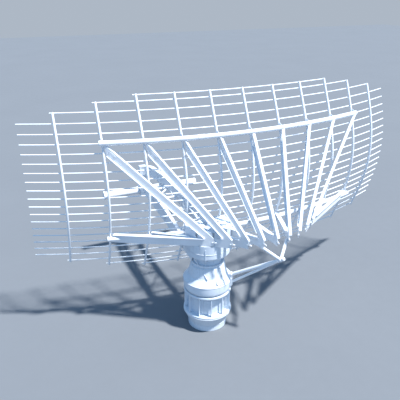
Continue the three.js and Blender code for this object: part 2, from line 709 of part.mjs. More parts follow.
// Two bars rise from the turret to a tip behind the reflector's long half, and two
// struts go on from the tip to the truss frames on both sides of it.
function outrigger() {
  const angle = THREE.MathUtils.degToRad(ARM_ROOT_ANGLE);
  const up = new THREE.Vector3(0, 0, 1);
  const root = (radius, height) => new THREE.Vector3(radius, 0, height).applyAxisAngle(up, angle);
  const upperRoot = root(ARM_ROOT_RADIUS - 20, ARM_UPPER_ROOT);
  const lowerRoot = root(ARM_ROOT_RADIUS - 10, ARM_LOWER_ROOT);
  const upper = strut(upperRoot, ARM_TIP, ARM_BAR, 8);
  const lower = strut(lowerRoot, ARM_TIP, ARM_BAR * 0.75, 8);
  const beyond = ARM_TIP.clone().add(ARM_TIP.clone().sub(upperRoot).setLength(STUB_LENGTH));
  const stub = strut(ARM_TIP, beyond, ARM_BAR, 8);
  const tipStruts = [-1, 1].map((step) => {
    const tail = trussTail(step);
    const beamPoint = surfacePoint(ribPlace(step), rodHeight(LOWER_BEAM_ROD), BEAM_BEHIND);
    const toBeam = beamPoint.sub(tail).setZ(0).normalize();
    const foot = tail.clone().addScaledVector(toBeam, TIP_STRUT_HOLD).setZ(TAIL_BOTTOM + 20);
    return solid(strut(ARM_TIP, foot, TIP_STRUT_RADIUS, 8)).subtract(truss(step, 1));
  });
  const padLow = [ARM_ROOT_RADIUS - 40, -60, ARM_LOWER_ROOT - 30];
  const padHigh = [ARM_ROOT_RADIUS + 55, 60, ARM_UPPER_ROOT + 44];
  const pad = block(padLow, padHigh);
  pad.rotateZ(angle);
  const outside = HOUSING_OUTSIDE.slice(1, 6).map(([radius, height]) => [radius + 1, height]);
  const [lowest, highest] = [770, outside.at(-1)[1]];
  const housingRoom = solid(turned([[50, lowest], [outside[0][0], lowest], ...outside, [50, highest]]));
  const bars = join([solid(upper), solid(lower), solid(stub), solid(pad), ...tipStruts]);
  return largest(bars.subtract(housingRoom));
}

// ---------------------------------------------------------------- assembly

const antenna = new THREE.Group();

const paint = { color: 0xd5e0ec, roughness: 0.5, metalness: 0.1 };
const darkPaint = { color: 0x9fb2c6, roughness: 0.55, metalness: 0.1 };
const steel = { color: 0x8f959b, roughness: 0.35, metalness: 0.9 };
const motorPaint = { color: 0x5c6a78, roughness: 0.5, metalness: 0.3 };

function add(name, shape, look = paint) {
  const geometry = shape.isBufferGeometry ? shape : geometryOf(shape);
  const mesh = new THREE.Mesh(geometry, new THREE.MeshStandardMaterial(look));
  mesh.name = name;
  antenna.add(mesh);
}

const twoDigits = (number) => String(number).padStart(2, '0');

add('pedestal_base', pedestalBase());
add('pedestal_drum', pedestalDrum());
add('guard_cage', guardCage());
add('access_door', accessDoor());
add('drive_motor', driveMotor(), motorPaint);
add('drive_pinion', drivePinion(), steel);
add('slewing_gear', slewingGear(), steel);
add('bearing_ring', bearingRing(), steel);
add('rotary_joint', rotaryJoint(), steel);
add('turret_housing', turretHousing());
add('turret_head', turretHead());
add('boom', boom());
add('feed_tube', feedTube());
add('waveguide', waveguide(), darkPaint);
add('outrigger', outrigger());

for (let number = 1; number <= ROD_COUNT; number += 1) {
  add(`rod_${twoDigits(number)}`, rod(LAST_ROD + 1 - number));
}
for (let number = 1; number <= RIB_COUNT; number += 1) {
  add(`rib_${twoDigits(number)}`, rib(number - 1 - LAST_RIB));
}
add('upper_beam', beam(UPPER_BEAM_ROD));
add('lower_beam', beam(LOWER_BEAM_ROD));
for (let step = -BEAM_RIB; step <= BEAM_RIB; step += 1) {
  add(`truss_${twoDigits(step + LAST_RIB + 1)}`, finishedTruss(step));
}

export default antenna;
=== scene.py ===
import json
import math
import random

import bmesh
import bpy
from mathutils import Matrix, Vector


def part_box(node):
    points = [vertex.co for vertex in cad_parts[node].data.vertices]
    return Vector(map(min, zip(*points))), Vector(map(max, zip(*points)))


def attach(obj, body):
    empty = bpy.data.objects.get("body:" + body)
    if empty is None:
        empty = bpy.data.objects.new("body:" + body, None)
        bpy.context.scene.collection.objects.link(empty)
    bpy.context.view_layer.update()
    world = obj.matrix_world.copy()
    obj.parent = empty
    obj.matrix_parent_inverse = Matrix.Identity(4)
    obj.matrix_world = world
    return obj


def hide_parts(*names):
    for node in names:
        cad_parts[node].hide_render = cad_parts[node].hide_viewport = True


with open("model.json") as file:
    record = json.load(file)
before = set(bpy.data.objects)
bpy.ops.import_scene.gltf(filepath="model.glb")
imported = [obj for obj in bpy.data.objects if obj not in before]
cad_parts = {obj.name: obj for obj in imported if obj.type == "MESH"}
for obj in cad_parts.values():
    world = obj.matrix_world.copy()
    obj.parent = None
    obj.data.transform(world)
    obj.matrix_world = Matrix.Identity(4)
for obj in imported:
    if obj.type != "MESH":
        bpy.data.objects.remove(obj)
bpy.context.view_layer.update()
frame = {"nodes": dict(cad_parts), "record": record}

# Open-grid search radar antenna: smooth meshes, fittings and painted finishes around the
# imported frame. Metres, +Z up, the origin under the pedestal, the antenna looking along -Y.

NODES = frame["nodes"]
PAINT = {row["slot"]: row["base_color"] for row in frame["record"]["materials"]}
UP = Vector((0, 0, 1))
random.seed(11)  # for the weld beads

# ---------------------------------------------------------------- the frame's own sizes

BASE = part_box("pedestal_base")
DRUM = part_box("pedestal_drum")
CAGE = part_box("guard_cage")
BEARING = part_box("bearing_ring")
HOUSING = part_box("turret_housing")
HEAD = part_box("turret_head")
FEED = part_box("feed_tube")
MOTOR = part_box("drive_motor")
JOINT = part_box("rotary_joint")

# Lengths are in metres. Angles are in degrees unless math.radians turns them.
SKIRT_RADIUS = BASE[1].x
SKIRT_TOP = BASE[1].z
SKIRT_START = 0.112
BASE_RADIUS = 0.351
DRUM_RADIUS = DRUM[1].x
DRUM_WALL = 0.012
DECK_LEVEL = 0.600
JOINT_HOLE = 0.075
RACE_BORE = 0.2007
CAGE_RADIUS = 0.420
CAGE_BARS = 12
CAGE_FIRST_BAR = 15
DOOR_ARC = 26
DOOR_MIDDLE = -math.pi / 2
DOOR_LOW = 0.420
DOOR_HIGH = 0.580
MOTOR_X = 0.225

SHOULDER_RADIUS = 0.432
SHOULDER_TOP = 0.960
CONE_RADIUS = 0.345
CONE_TOP = 1.075
NECK_ROOT_RADIUS = 0.300
NECK_ROOT = 1.250
NECK_RADIUS = 0.262
NECK_TOP = HOUSING[1].z
NECK_GUSSETS = (60, 150, 240, 330)
WAY_THROUGH = 0.120
HEAD_RADIUS = HEAD[1].x
HEAD_FLOOR = 1.590
HEAD_FRONT = -0.132

ROD_RADIUS = 0.010
RIB_RADIUS = 0.019
BEAM_RADIUS = 0.042
BEAM_REACH = 0.040
SPLICES = (0.31, 0.69)
REFLECTOR_MIDDLE = -0.900

# The frames are counted from the middle one: step -4 is at the +X end, step 4 at the -X end.
LAST_STEP = 4
TRUSS_STEPS = range(-LAST_STEP, LAST_STEP + 1)
PLATE = 0.008
TAIL_PITCH = 0.242
TAIL_REACH = 0.790
TAIL_SWEEP = 0.0252
TAIL_BOTTOM = 1.760
TAIL_DEPTH = 0.145
TAIL_TOP = TAIL_BOTTOM + TAIL_DEPTH
UPPER_FLANGE = 0.046
UPPER_END_DEPTH = 0.168
LOWER_END_DEPTH = 0.152
DECK_START = 0.165
CROWDED_DECK_START = 0.400
CROWDED_STEP = 3

FEED_Y = -3.122
FEED_Z = 1.476
FEED_RADIUS = 0.080
BOOM_SIDE = 0.272
BOOM_PLATE = 0.006
DUCT_WIDTH = 0.100

ARM_TIP = Vector((-0.900, 0.922, 1.566))
ARM_ANGLE = math.radians(150.8)
ARM_ROOT = 0.400
ARM_UPPER_ROOT = 0.996
ARM_LOWER_ROOT = 0.830
ARM_BAR = 0.030

SKY_COLOUR = (0.36, 0.62, 1.0, 1.0)
SKY_STRENGTH = 0.74
BACKDROP_COLOUR = (0.42, 0.48, 0.56, 1.0)
SUN_AZIMUTH = math.radians(133)
SUN_ELEVATION = math.radians(64)
SUN_STRENGTH = 7.2
SUN_WIDTH = math.radians(3.5)
SUN_COLOUR = (1.0, 0.985, 0.96)
FLOOR_SIDE = 120
FLOOR_TOP = -0.0005
CAMERA_PLACE = Vector((3.104, 6.715, 5.678))
CAMERA_AZIMUTH = math.radians(156.23)
CAMERA_ELEVATION = math.radians(23.68)
CAMERA_LENS = 43.6

# ---------------------------------------------------------------- materials


def colour_of(slot, shade=1.0):
    """The record's colour for a slot, made lighter or darker."""
    return tuple(min(1.0, channel * shade) for channel in PAINT[slot]) + (1.0,)


class Shader:
    """A material's node tree, with short calls for the nodes that the finishes share."""

    def __init__(self, name):
        self.material = bpy.data.materials.new(name)
        self.material.use_nodes = True
        self.tree = self.material.node_tree
        self.surface = self.tree.nodes["Principled BSDF"]
        self.place = self.node("ShaderNodeTexCoord").outputs["Object"]

    def node(self, kind, **settings):
        made = self.tree.nodes.new(kind)
        for key, value in settings.items():
            setattr(made, key, value)
        return made

    def link(self, source, target):
        self.tree.links.new(source, target)

    def noise(self, scale, detail=4.0, roughness=0.55, stretch=None):
        """Noise over the object's own coordinates, stretched along the axes if asked."""
        made = self.node("ShaderNodeTexNoise")
        made.inputs["Scale"].default_value = scale
        made.inputs["Detail"].default_value = detail
        made.inputs["Roughness"].default_value = roughness
        place = self.place
        if stretch:
            mapping = self.node("ShaderNodeMapping")
            mapping.inputs["Scale"].default_value = stretch
            self.link(place, mapping.inputs["Vector"])
            place = mapping.outputs["Vector"]
        self.link(place, made.inputs["Vector"])
        return made.outputs["Fac"]

    def band(self, value, low, high, out_low=0.0, out_high=1.0):
        """Turns a value between low and high into out_low to out_high."""
        made = self.node("ShaderNodeMapRange", clamp=True)
        numbers = {"From Min": low, "From Max": high, "To Min": out_low, "To Max": out_high}
        for key, number in numbers.items():
            made.inputs[key].default_value = number
        self.link(value, made.inputs["Value"])
        return made.outputs["Result"]

    def times(self, first, second):
        made = self.node("ShaderNodeMath", operation="MULTIPLY")
        for socket, value in zip(made.inputs, (first, second)):
            if isinstance(value, float):
                socket.default_value = value
            else:
                self.link(value, socket)
        return made.outputs[0]

    def mix(self, share, first, second):
        """A colour between two, each a tuple or another node's colour."""
        made = self.node("ShaderNodeMix", data_type="RGBA")
        sockets = [s for s in made.inputs if s.type == "RGBA"]
        self.link(share, made.inputs["Factor"])
        for socket, value in zip(sockets, (first, second)):
            if isinstance(value, tuple):
                socket.default_value = value
            else:
                self.link(value, socket)
        return next(s for s in made.outputs if s.type == "RGBA")

    def edges(self, reach, ragged):
        """Where an edge is rubbed: there a rounded normal leans away from the true one."""
        rounded_off = self.node("ShaderNodeBevel", samples=4)
        rounded_off.inputs["Radius"].default_value = reach
        lean = self.node("ShaderNodeVectorMath", operation="DOT_PRODUCT")
        self.link(rounded_off.outputs["Normal"], lean.inputs[0])
        self.link(self.node("ShaderNodeNewGeometry").outputs["Normal"], lean.inputs[1])
        rubbed = self.band(lean.outputs["Value"], 0.90, 0.99, 1.0, 0.0)
        return self.times(rubbed, self.band(self.noise(ragged), 0.42, 0.62))

    def bump(self, height, strength, distance):
        made = self.node("ShaderNodeBump")
        made.inputs["Strength"].default_value = strength
        made.inputs["Distance"].default_value = distance
        self.link(height, made.inputs["Height"])
        self.link(made.outputs["Normal"], self.surface.inputs["Normal"])

    def cover(self, colour, cloud, rough):
        """The surface's colour, and its roughness from a noise."""
        self.link(colour, self.surface.inputs["Base Color"])
        self.link(self.band(cloud, 0.3, 0.7, *rough), self.surface.inputs["Roughness"])

    def set(self, **values):
        for key, value in values.items():
            self.surface.inputs[key.replace("_", " ")].default_value = value


def painted(name, slot, shade=1.0, grime=0.5, wear=0.6, rough=(0.34, 0.55), grain=260.0):
    """Sprayed paint on steel: cloudy colour, rain streaks, rubbed edges and a fine orange peel."""
    made = Shader(name)
    clear = colour_of(slot, shade)
    faded = tuple(0.90 * c for c in clear[:3]) + (1.0,)
    dirt = (0.40 * clear[0], 0.43 * clear[1], 0.46 * clear[2], 1.0)
    primer = (0.42, 0.45, 0.48, 1.0)
    colour = made.mix(made.band(made.noise(1.7, 5.0), 0.38, 0.66), clear, faded)
    speckle = made.band(made.noise(34.0, 6.0, 0.7), 0.56, 0.78, 0.0, 0.35 * grime)
    streak = made.band(made.noise(3.0, 5.0, 0.6, (9.0, 9.0, 0.7)), 0.55, 0.80, 0.0, 0.45 * grime)
    colour = made.mix(speckle, colour, dirt)
    colour = made.mix(streak, colour, dirt)
    worn = made.times(made.edges(0.004, 23.0), float(wear))
    colour = made.mix(worn, colour, primer)
    made.cover(colour, made.noise(11.0, 5.0), rough)
    made.bump(made.noise(grain, 2.0), 0.10, 0.0012)
    made.set(Coat_Weight=0.12, Coat_Roughness=0.25)
    return made.material


def bare_steel(name, colour, rough=(0.22, 0.42), turning=(1.0, 1.0, 26.0)):
    """Machined steel: fine tool marks, an oily bloom and brighter rubbed edges."""
    made = Shader(name)
    light = tuple(1.18 * c for c in colour) + (1.0,)
    base = tuple(colour) + (1.0,)
    oil = tuple(0.45 * c for c in colour) + (1.0,)
    cloud = made.mix(made.band(made.noise(6.0, 5.0), 0.40, 0.65), base, light)
    stained = made.mix(made.band(made.noise(15.0, 6.0, 0.7), 0.55, 0.75, 0.0, 0.7), cloud, oil)
    bright = made.mix(made.edges(0.003, 30.0), stained, light)
    marks = made.noise(40.0, 3.0, 0.6, turning)
    made.cover(bright, marks, rough)
    made.bump(marks, 0.18, 0.0008)
    made.set(Metallic=0.92)
    return made.material


def galvanised(name):
    """Zinc-coated fasteners: a dull spangled metal."""
    made = Shader(name)
    cells = made.node("ShaderNodeTexVoronoi")
    cells.inputs["Scale"].default_value = 150.0
    made.link(made.place, cells.inputs["Vector"])
    spangle = made.band(cells.outputs["Distance"], 0.1, 0.7)
    colour = made.mix(spangle, (0.50, 0.54, 0.58, 1.0), (0.66, 0.70, 0.74, 1.0))
    stained = made.band(made.noise(30.0, 5.0), 0.58, 0.74, 0.0, 0.6)
    colour = made.mix(stained, colour, (0.31, 0.30, 0.29, 1.0))
    made.cover(colour, made.noise(60.0), (0.34, 0.58))
    made.bump(cells.outputs["Distance"], 0.12, 0.0006)
    made.set(Metallic=0.75)
    return made.material


def rubber(name):
    """Cable sheath and seals: dark, dusty and slightly rough."""
    made = Shader(name)
    dust = made.band(made.noise(22.0, 6.0, 0.7), 0.45, 0.75, 0.0, 0.5)
    colour = made.mix(dust, (0.035, 0.038, 0.042, 1.0), (0.17, 0.18, 0.19, 1.0))
    made.cover(colour, made.noise(40.0), (0.6, 0.85))
    made.bump(made.noise(300.0, 2.0), 0.2, 0.0008)
    return made.material


def studio_floor(name):
    """A plain pale floor with a faint cloudiness."""
    made = Shader(name)
    colour = made.mix(made.noise(0.35, 3.0), (0.145, 0.160, 0.180, 1.0), (0.160, 0.176, 0.197, 1.0))
    made.cover(colour, made.noise(4.0), (0.80, 0.92))
    return made.material


def paint_finish(slot, **settings):
    """A finish is a material and the slot that it fills in the record."""
    return painted(slot, slot, **settings), slot


FRAME_PAINT = paint_finish("frame_paint", wear=0.45, grime=0.16)
ROD_PAINT = paint_finish("rod_paint", wear=0.3, grime=0.2)
HOUSING_PAINT = paint_finish("housing_paint", grime=0.8, wear=0.75)
FEED_PAINT = paint_finish("feed_paint", grime=0.4, wear=0.5, rough=(0.28, 0.46))
DUCT_PAINT = paint_finish("duct_paint", grime=0.5, wear=0.6)
MOTOR_PAINT = paint_finish("motor_paint", grime=0.7, wear=0.8)
WELD_METAL = painted("weld_paint", "frame_paint", shade=0.93, wear=0.1, rough=(0.45, 0.65), grain=420.0)
STEEL = (bare_steel("machined_steel", PAINT["machined_steel"]), "machined_steel")
FASTENER = (galvanised("galvanised_steel"), "machined_steel")
RUBBER = (rubber("cable_rubber"), "motor_paint")
FLOOR = studio_floor("studio_floor")

# ---------------------------------------------------------------- places and directions


def outward(angle, radius=1.0):
    """The point at an angle on a level circle about the turret's axis."""
    return Vector((radius * math.cos(angle), radius * math.sin(angle), 0))


def moved(*place):
    """A matrix that moves by x, y and z."""
    return Matrix.Translation(Vector(place))


def axes_of(x, y, z):
    """A matrix whose X, Y and Z run along three vectors."""
    return Matrix((x, y, z)).transposed().to_4x4()


def turned_frame(place, axis, about=None):
    """A matrix at a place whose Z runs along an axis."""
    z = axis.normalized()
    x = (about or (UP if abs(z.z) < 0.9 else Vector((1, 0, 0)))).cross(z).normalized()
    y = z.cross(x)
    return Matrix.Translation(place) @ axes_of(x, y, z)


# ---------------------------------------------------------------- mesh tools


def ring_of(bm, matrix, radius, height, sides):
    turn = 2 * math.pi / sides
    return [
        bm.verts.new(matrix @ Vector((radius * math.cos(turn * k), radius * math.sin(turn * k), height)))
        for k in range(sides)
    ]


def bridge(bm, low, high):
    """Faces between two rings, or between a ring and a single corner."""
    if len(low) == 1 and len(high) == 1:
        return
    count = max(len(low), len(high))
    for k in range(count):
        after = (k + 1) % count
        corners = [low[k % len(low)], low[after % len(low)], high[after % len(high)], high[k % len(high)]]
        bm.faces.new(list(dict.fromkeys(corners)))


def section(inner, outer, low, high):
    """The [radius, height] corners of a flat ring, or of a round bar if inner is 0."""
    return [(inner, low), (outer, low), (outer, high), (inner, high)]


def turn_profile(bm, profile, matrix=Matrix(), sides=96, closed=False):
    """Turns [radius, height] corners about Z. A radius of 0 is a point on the axis."""
    rings = []
    for radius, height in profile:
        if radius < 1e-6:
            rings.append([bm.verts.new(matrix @ Vector((0, 0, height)))])
        else:
            rings.append(ring_of(bm, matrix, radius, height, sides))
    for low, high in zip(rings, rings[1:]):
        bridge(bm, low, high)
    if closed:
        bridge(bm, rings[-1], rings[0])


def rounded(corners, radius, closed=True, steps=3):
    """The same outline with each corner rounded, by less where its sides are short."""
    points = [Vector(c) for c in corners]
    made = []
    count = len(points)
    for k, corner in enumerate(points):
        if not closed and k in (0, count - 1):
            made.append(tuple(corner))
            continue
        back = points[k - 1] - corner
        ahead = points[(k + 1) % count] - corner
        bend = back.angle(ahead)
        if bend > math.radians(172):
            made.append(tuple(corner))
            continue
        reach = min(radius / math.tan(bend / 2), 0.45 * back.length, 0.45 * ahead.length)
        start = corner + back.normalized() * reach
        end = corner + ahead.normalized() * reach
        for step in range(steps + 1):
            share = step / steps
            first = start.lerp(corner, share)
            second = corner.lerp(end, share)
            made.append(tuple(first.lerp(second, share)))
    return made


def turned_ring(bm, outline, corner):
    """A closed outline with rounded corners, turned finely all the way round."""
    turn_profile(bm, rounded(outline, corner), sides=144, closed=True)


def tube(bm, line, radius, sides=12, domed=0.45):
    """A round tube along a line of points, closed by low domes."""
    aims = []
    for k in range(len(line)):
        aims.append((line[min(k + 1, len(line) - 1)] - line[max(k - 1, 0)]).normalized())
    across = aims[0].orthogonal().normalized()
    rings = []

    def ring(place, aim, size):
        side = aim.cross(across)
        turn = 2 * math.pi / sides
        return [
            bm.verts.new(place + size * (math.cos(turn * k) * across + math.sin(turn * k) * side))
            for k in range(sides)
        ]

    dome = ((1.0, 0.35), (0.82, 0.75), (0.45, 0.94))
    first_tip = line[0] - aims[0] * radius * domed
    rings.append([bm.verts.new(first_tip)])
    for rise, size in reversed(dome[1:]):
        rings.append(ring(line[0] - aims[0] * radius * domed * size, aims[0], radius * rise))
    for place, aim in zip(line, aims):
        across = (across - aim * across.dot(aim)).normalized()
        rings.append(ring(place, aim, radius))
    for rise, size in dome[1:]:
        rings.append(ring(line[-1] + aims[-1] * radius * domed * size, aims[-1], radius * rise))
    rings.append([bm.verts.new(line[-1] + aims[-1] * radius * domed)])
    for low, high in zip(rings, rings[1:]):
        bridge(bm, low, high)


def prism(bm, outline, matrix, low, high):
    """A flat outline thickened along its matrix's Z."""
    bottom = [bm.verts.new(matrix @ Vector((x, y, low))) for x, y in outline]
    top = [bm.verts.new(matrix @ Vector((x, y, high))) for x, y in outline]
    bridge(bm, bottom, top)
    bm.faces.new(list(reversed(bottom)))
    bm.faces.new(top)


def slab(bm, matrix, width, depth, low, high, corner=0.0):
    """A rectangular plate centred on its matrix, with rounded corners if asked."""
    half = (width / 2, depth / 2)
    outline = [(-half[0], -half[1]), (half[0], -half[1]), (half[0], half[1]), (-half[0], half[1])]
    if corner:
        outline = rounded(outline, corner)
    prism(bm, outline, matrix, low, high)


def bolt(bm, place, axis, size=0.010, grip=0.0):
    """A hexagon head on a washer, standing on a surface. Size is the thread's diameter."""
    matrix = turned_frame(place - axis.normalized() * grip, axis)
    turn_profile(bm, section(0, size * 1.15, 0, size * 0.22), matrix, 14)
    head = [(0, size * 0.2), (size * 0.95, size * 0.2), (size * 0.95, size * 0.72),
            (size * 0.8, size * 0.86), (0, size * 0.86)]
    turn_profile(bm, head, matrix, 6)
    shank = [(0, size * 0.8), (size * 0.46, size * 0.8), (size * 0.46, size * 1.15), (0, size * 1.2)]
    turn_profile(bm, shank, matrix, 10)


def bolt_circle(bm, centre, axis, radius, count, size=0.010, first=0.0):
    """Bolts evenly round an axis, standing along it."""
    matrix = turned_frame(centre, axis)
    for k in range(count):
        angle = first + 2 * math.pi * k / count
        bolt(bm, matrix @ outward(angle, radius), axis, size)


def bead(bm, line, radius=0.004):
    """A weld bead along a line: a thin tube that wavers up and down."""
    points = []
    for first, second in zip(line, line[1:]):
        steps = max(2, int((second - first).length / 0.02))
        points += [first.lerp(second, k / steps) for k in range(steps)]
    points.append(line[-1])
    rippled = [p + UP * random.uniform(-0.12, 0.12) * radius for p in points]
    tube(bm, rippled, radius, 6, 0.3)


def puddle(bm, place, size):
    """A flattened drop of weld metal. The axes of size hold its half-lengths."""
    bmesh.ops.create_icosphere(bm, subdivisions=2, radius=1.0, matrix=Matrix.Translation(place) @ size)


def circle(centre, axis, radius, count=48):
    """Points on a circle about an axis. The last one meets the first."""
    matrix = turned_frame(centre, axis)
    return [matrix @ outward(2 * math.pi * k / count, radius) for k in range(count + 1)]


def smooth_line(points, steps=5):
    """A smooth curve through a line of points."""
    padded = [2 * points[0] - points[1]] + list(points) + [2 * points[-1] - points[-2]]
    made = []
    for k in range(1, len(padded) - 2):
        before, start, end, after = padded[k - 1:k + 3]
        for step in range(steps):
            t = step / steps
            made.append(0.5 * (2 * start + (end - before) * t
                               + (2 * before - 5 * start + 4 * end - after) * t ** 2
                               + (3 * start - before - 3 * end + after) * t ** 3))
    made.append(points[-1].copy())
    return made


def stations(node, axis, gap=0.015):
    """The middle of each ring of corners of a swept member, in order along an axis."""
    corners = {tuple(round(c, 5) for c in v.co) for v in NODES[node].data.vertices}
    ordered = sorted(corners, key=lambda corner: corner[axis])
    rings = [[ordered[0]]]
    for before, corner in zip(ordered, ordered[1:]):
        if corner[axis] - before[axis] > gap:
            rings.append([])
        rings[-1].append(corner)
    return [sum((Vector(c) for c in ring), Vector()) / len(ring) for ring in rings]


def shade(mesh, angle):
    mesh.shade_smooth()
    mesh.set_sharp_from_angle(angle=math.radians(angle))


def soften(piece, width, segments=2, angle=38):
    """Rounds a piece's hard edges and keeps its flat faces flat."""
    if width:
        edge = piece.modifiers.new("edges", "BEVEL")
        edge.width = width
        edge.segments = segments
        edge.limit_method = "ANGLE"
        edge.angle_limit = math.radians(angle)
        edge.use_clamp_overlap = True
    even = piece.modifiers.new("even_shading", "WEIGHTED_NORMAL")
    even.keep_sharp = True


def piece(name, bm, body, finish, edge=0.0, angle=42, stands_for=()):
    """Turns a finished bmesh into a named piece that rides on a CAD body."""
    material, slot = finish
    bmesh.ops.recalc_face_normals(bm, faces=bm.faces)
    mesh = bpy.data.meshes.new(name)
    bm.to_mesh(mesh)
    bm.free()
    mesh.materials.append(material)
    shade(mesh, angle)
    made = bpy.data.objects.new(name, mesh)
    bpy.context.scene.collection.objects.link(made)
    soften(made, edge, angle=min(angle, 38))
    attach(made, body)
    if stands_for:
        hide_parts(*stands_for)
    return made


def bolt_piece(name, bm, body):
    piece(name, bm, body, FASTENER, angle=30)


def weld_piece(name, bm, body, slot):
    piece(name, bm, body, (WELD_METAL, slot), angle=80)


def cut_away(target, name, fill):
    """Cuts a shape out of a piece at once, and leaves no cutter behind."""
    bm = bmesh.new()
    fill(bm)
    bmesh.ops.recalc_face_normals(bm, faces=bm.faces)
    mesh = bpy.data.meshes.new(name)
    bm.to_mesh(mesh)
    bm.free()
    cutter = bpy.data.objects.new(name, mesh)
    bpy.context.scene.collection.objects.link(cutter)
    boolean = target.modifiers.new("cut", "BOOLEAN")
    boolean.operation = "DIFFERENCE"
    boolean.solver = "EXACT"
    boolean.object = cutter
    others = [m for m in target.modifiers if m != boolean]
    shown = [m.show_viewport for m in others]
    for modifier in others:
        modifier.show_viewport = False
    view = bpy.context.evaluated_depsgraph_get()
    result = bpy.data.meshes.new_from_object(target.evaluated_get(view))
    target.modifiers.remove(boolean)
    for modifier, state in zip(others, shown):
        modifier.show_viewport = state
    target.data = result
    bpy.data.objects.remove(cutter)
    shade(result, 42)


def keep_node(node, finish, edge=0.0012, angle=38):
    """Shows a CAD node with its corners joined, its edges rounded and a finish of its own."""
    material, slot = finish
    made = NODES[node]
    made.data.materials.clear()
    made.data.materials.append(material)
    made.data.shade_smooth()
    join = made.modifiers.new("join", "WELD")
    join.merge_threshold = 1e-5
    soften(made, edge, angle=angle)


# ---------------------------------------------------------------- reflector

ROD_LINES = {}
RIB_LINES = {}
BEAM_LINES = {}
for node in sorted(NODES):
    if node.startswith("rod_"):
        ROD_LINES[node] = stations(node, 0)
    elif node.startswith("rib_"):
        RIB_LINES[node] = stations(node, 2)
    elif node.endswith("_beam"):
        BEAM_LINES[node] = stations(node, 0)
ROD_POINTS = [point for line in ROD_LINES.values() for point in line]


def nearest(points, place):
    return min(points, key=lambda point: (point - place).length)


def nearest_on(line, place):
    """The point of a line of stations nearest to a place, and the line's direction there."""
    found = []
    for start, end in zip(line, line[1:]):
        run = end - start
        share = min(1.0, max(0.0, (place - start).dot(run) / run.length_squared))
        spot = start + run * share
        found.append(((spot - place).length, spot, run.normalized()))
    return min(found, key=lambda row: row[0])[1:]


def beam_seat(node, step):
    """The place on a beam's axis where one frame holds it. The beam's ends stick out further."""
    line = sorted(BEAM_LINES[node], key=lambda point: -point.x)
    index = step + LAST_STEP
    if abs(step) < LAST_STEP:
        return line[index]
    inner = line[1] if step < 0 else line[-2]
    return line[index] + (inner - line[index]).normalized() * BEAM_REACH


def rods():
    """Each rod as a smooth round tube on its CAD line."""
    for node, line in ROD_LINES.items():
        bm = bmesh.new()
        tube(bm, smooth_line(line, 4), ROD_RADIUS, 10)
        piece(f"{node}_tube", bm, "turret", ROD_PAINT, angle=60, stands_for=[node])


def ribs():
    """Each rib as a smooth round tube on its CAD line."""
    for node, line in RIB_LINES.items():
        bm = bmesh.new()
        tube(bm, smooth_line(line, 4), RIB_RADIUS, 14)
        piece(f"{node}_tube", bm, "turret", FRAME_PAINT, angle=60, stands_for=[node])


def crossing_welds():
    """A weld at each crossing of a rod and a rib, drawn out along the rod."""
    long, wide, thick = 0.021, 0.0145, 0.0075
    bm = bmesh.new()
    for line in RIB_LINES.values():
        for before, place, after in zip([line[0]] + line, line, line[1:] + [line[-1]]):
            rod = nearest(ROD_POINTS, place)
            toward = (rod - place).normalized()
            along_rib = (after - before).normalized()
            along_rod = along_rib.cross(toward).normalized()
            seat = place + toward * RIB_RADIUS
            puddle(bm, seat, axes_of(along_rod * long, along_rib * wide, toward * thick))
    weld_piece("crossing_welds", bm, "turret", "frame_paint")


def beams():
    """Both beams as smooth round tubes on their CAD lines."""
    for node, line in BEAM_LINES.items():
        bm = bmesh.new()
        tube(bm, smooth_line(line, 6), BEAM_RADIUS, 28, 0.28)
        piece(f"{node}_tube", bm, "turret", FRAME_PAINT, angle=50, stands_for=[node])


def beam_sleeves():
    """Slim splice sleeves on the beams, and a welded cap at each end."""
    bm = bmesh.new()
    welds = bmesh.new()
    outer = BEAM_RADIUS + 0.004
    inner = BEAM_RADIUS - 0.004
    sleeve = rounded(section(inner, outer, -0.055, 0.055), 0.002)
    cap = [(0, -0.022), (BEAM_RADIUS - 0.006, -0.022), (BEAM_RADIUS + 0.003, -0.020),
           (BEAM_RADIUS + 0.003, 0.002), (BEAM_RADIUS, 0.006), (0, 0.010)]
    for line in BEAM_LINES.values():
        curve = smooth_line(line, 8)
        for share in SPLICES:
            k = int(share * (len(curve) - 1))
            axis = (curve[k + 1] - curve[k - 1]).normalized()
            turn_profile(bm, sleeve, turned_frame(curve[k], axis), 36, closed=True)
            for side in (-1, 1):
                bead(welds, circle(curve[k] + axis * side * 0.056, axis, BEAM_RADIUS + 0.002, 36), 0.003)
        for end, before in ((line[0], line[1]), (line[-1], line[-2])):
            turn_profile(bm, cap, turned_frame(end, (end - before).normalized()), 36)
    piece("beam_sleeves", bm, "turret", FRAME_PAINT, edge=0.001)
    weld_piece("sleeve_welds", welds, "turret", "frame_paint")


def beam_gussets():
    """Small triangular plates and a weld tie each rib to the beam behind it."""
    bm = bmesh.new()
    welds = bmesh.new()
    for node in BEAM_LINES:
        for step in TRUSS_STEPS:
            seat = beam_seat(node, step)
            spots = [nearest_on(line, seat) for line in RIB_LINES.values()]
            spot, along = min(spots, key=lambda row: (row[0] - seat).length)
            toward = (seat - spot).normalized()
            side = toward.cross(along).normalized()
            axes = axes_of(along, toward, side)
            matrix = Matrix.Translation(spot) @ axes
            for hand in (-1, 1):
                outline = [(hand * 0.030, 0.012), (hand * 0.095, 0.014), (hand * 0.090, 0.022),
                           (hand * 0.040, 0.074), (hand * 0.028, 0.070)]
                prism(bm, outline, matrix, -0.004, 0.004)
            size = axes_of(side * 0.032, along * 0.028, toward * 0.011)
            puddle(welds, spot + toward * RIB_RADIUS, size)
    piece("beam_gussets", bm, "turret", FRAME_PAINT, edge=0.0012)
    weld_piece("beam_welds", welds, "turret", "frame_paint")


# ---------------------------------------------------------------- truss frames


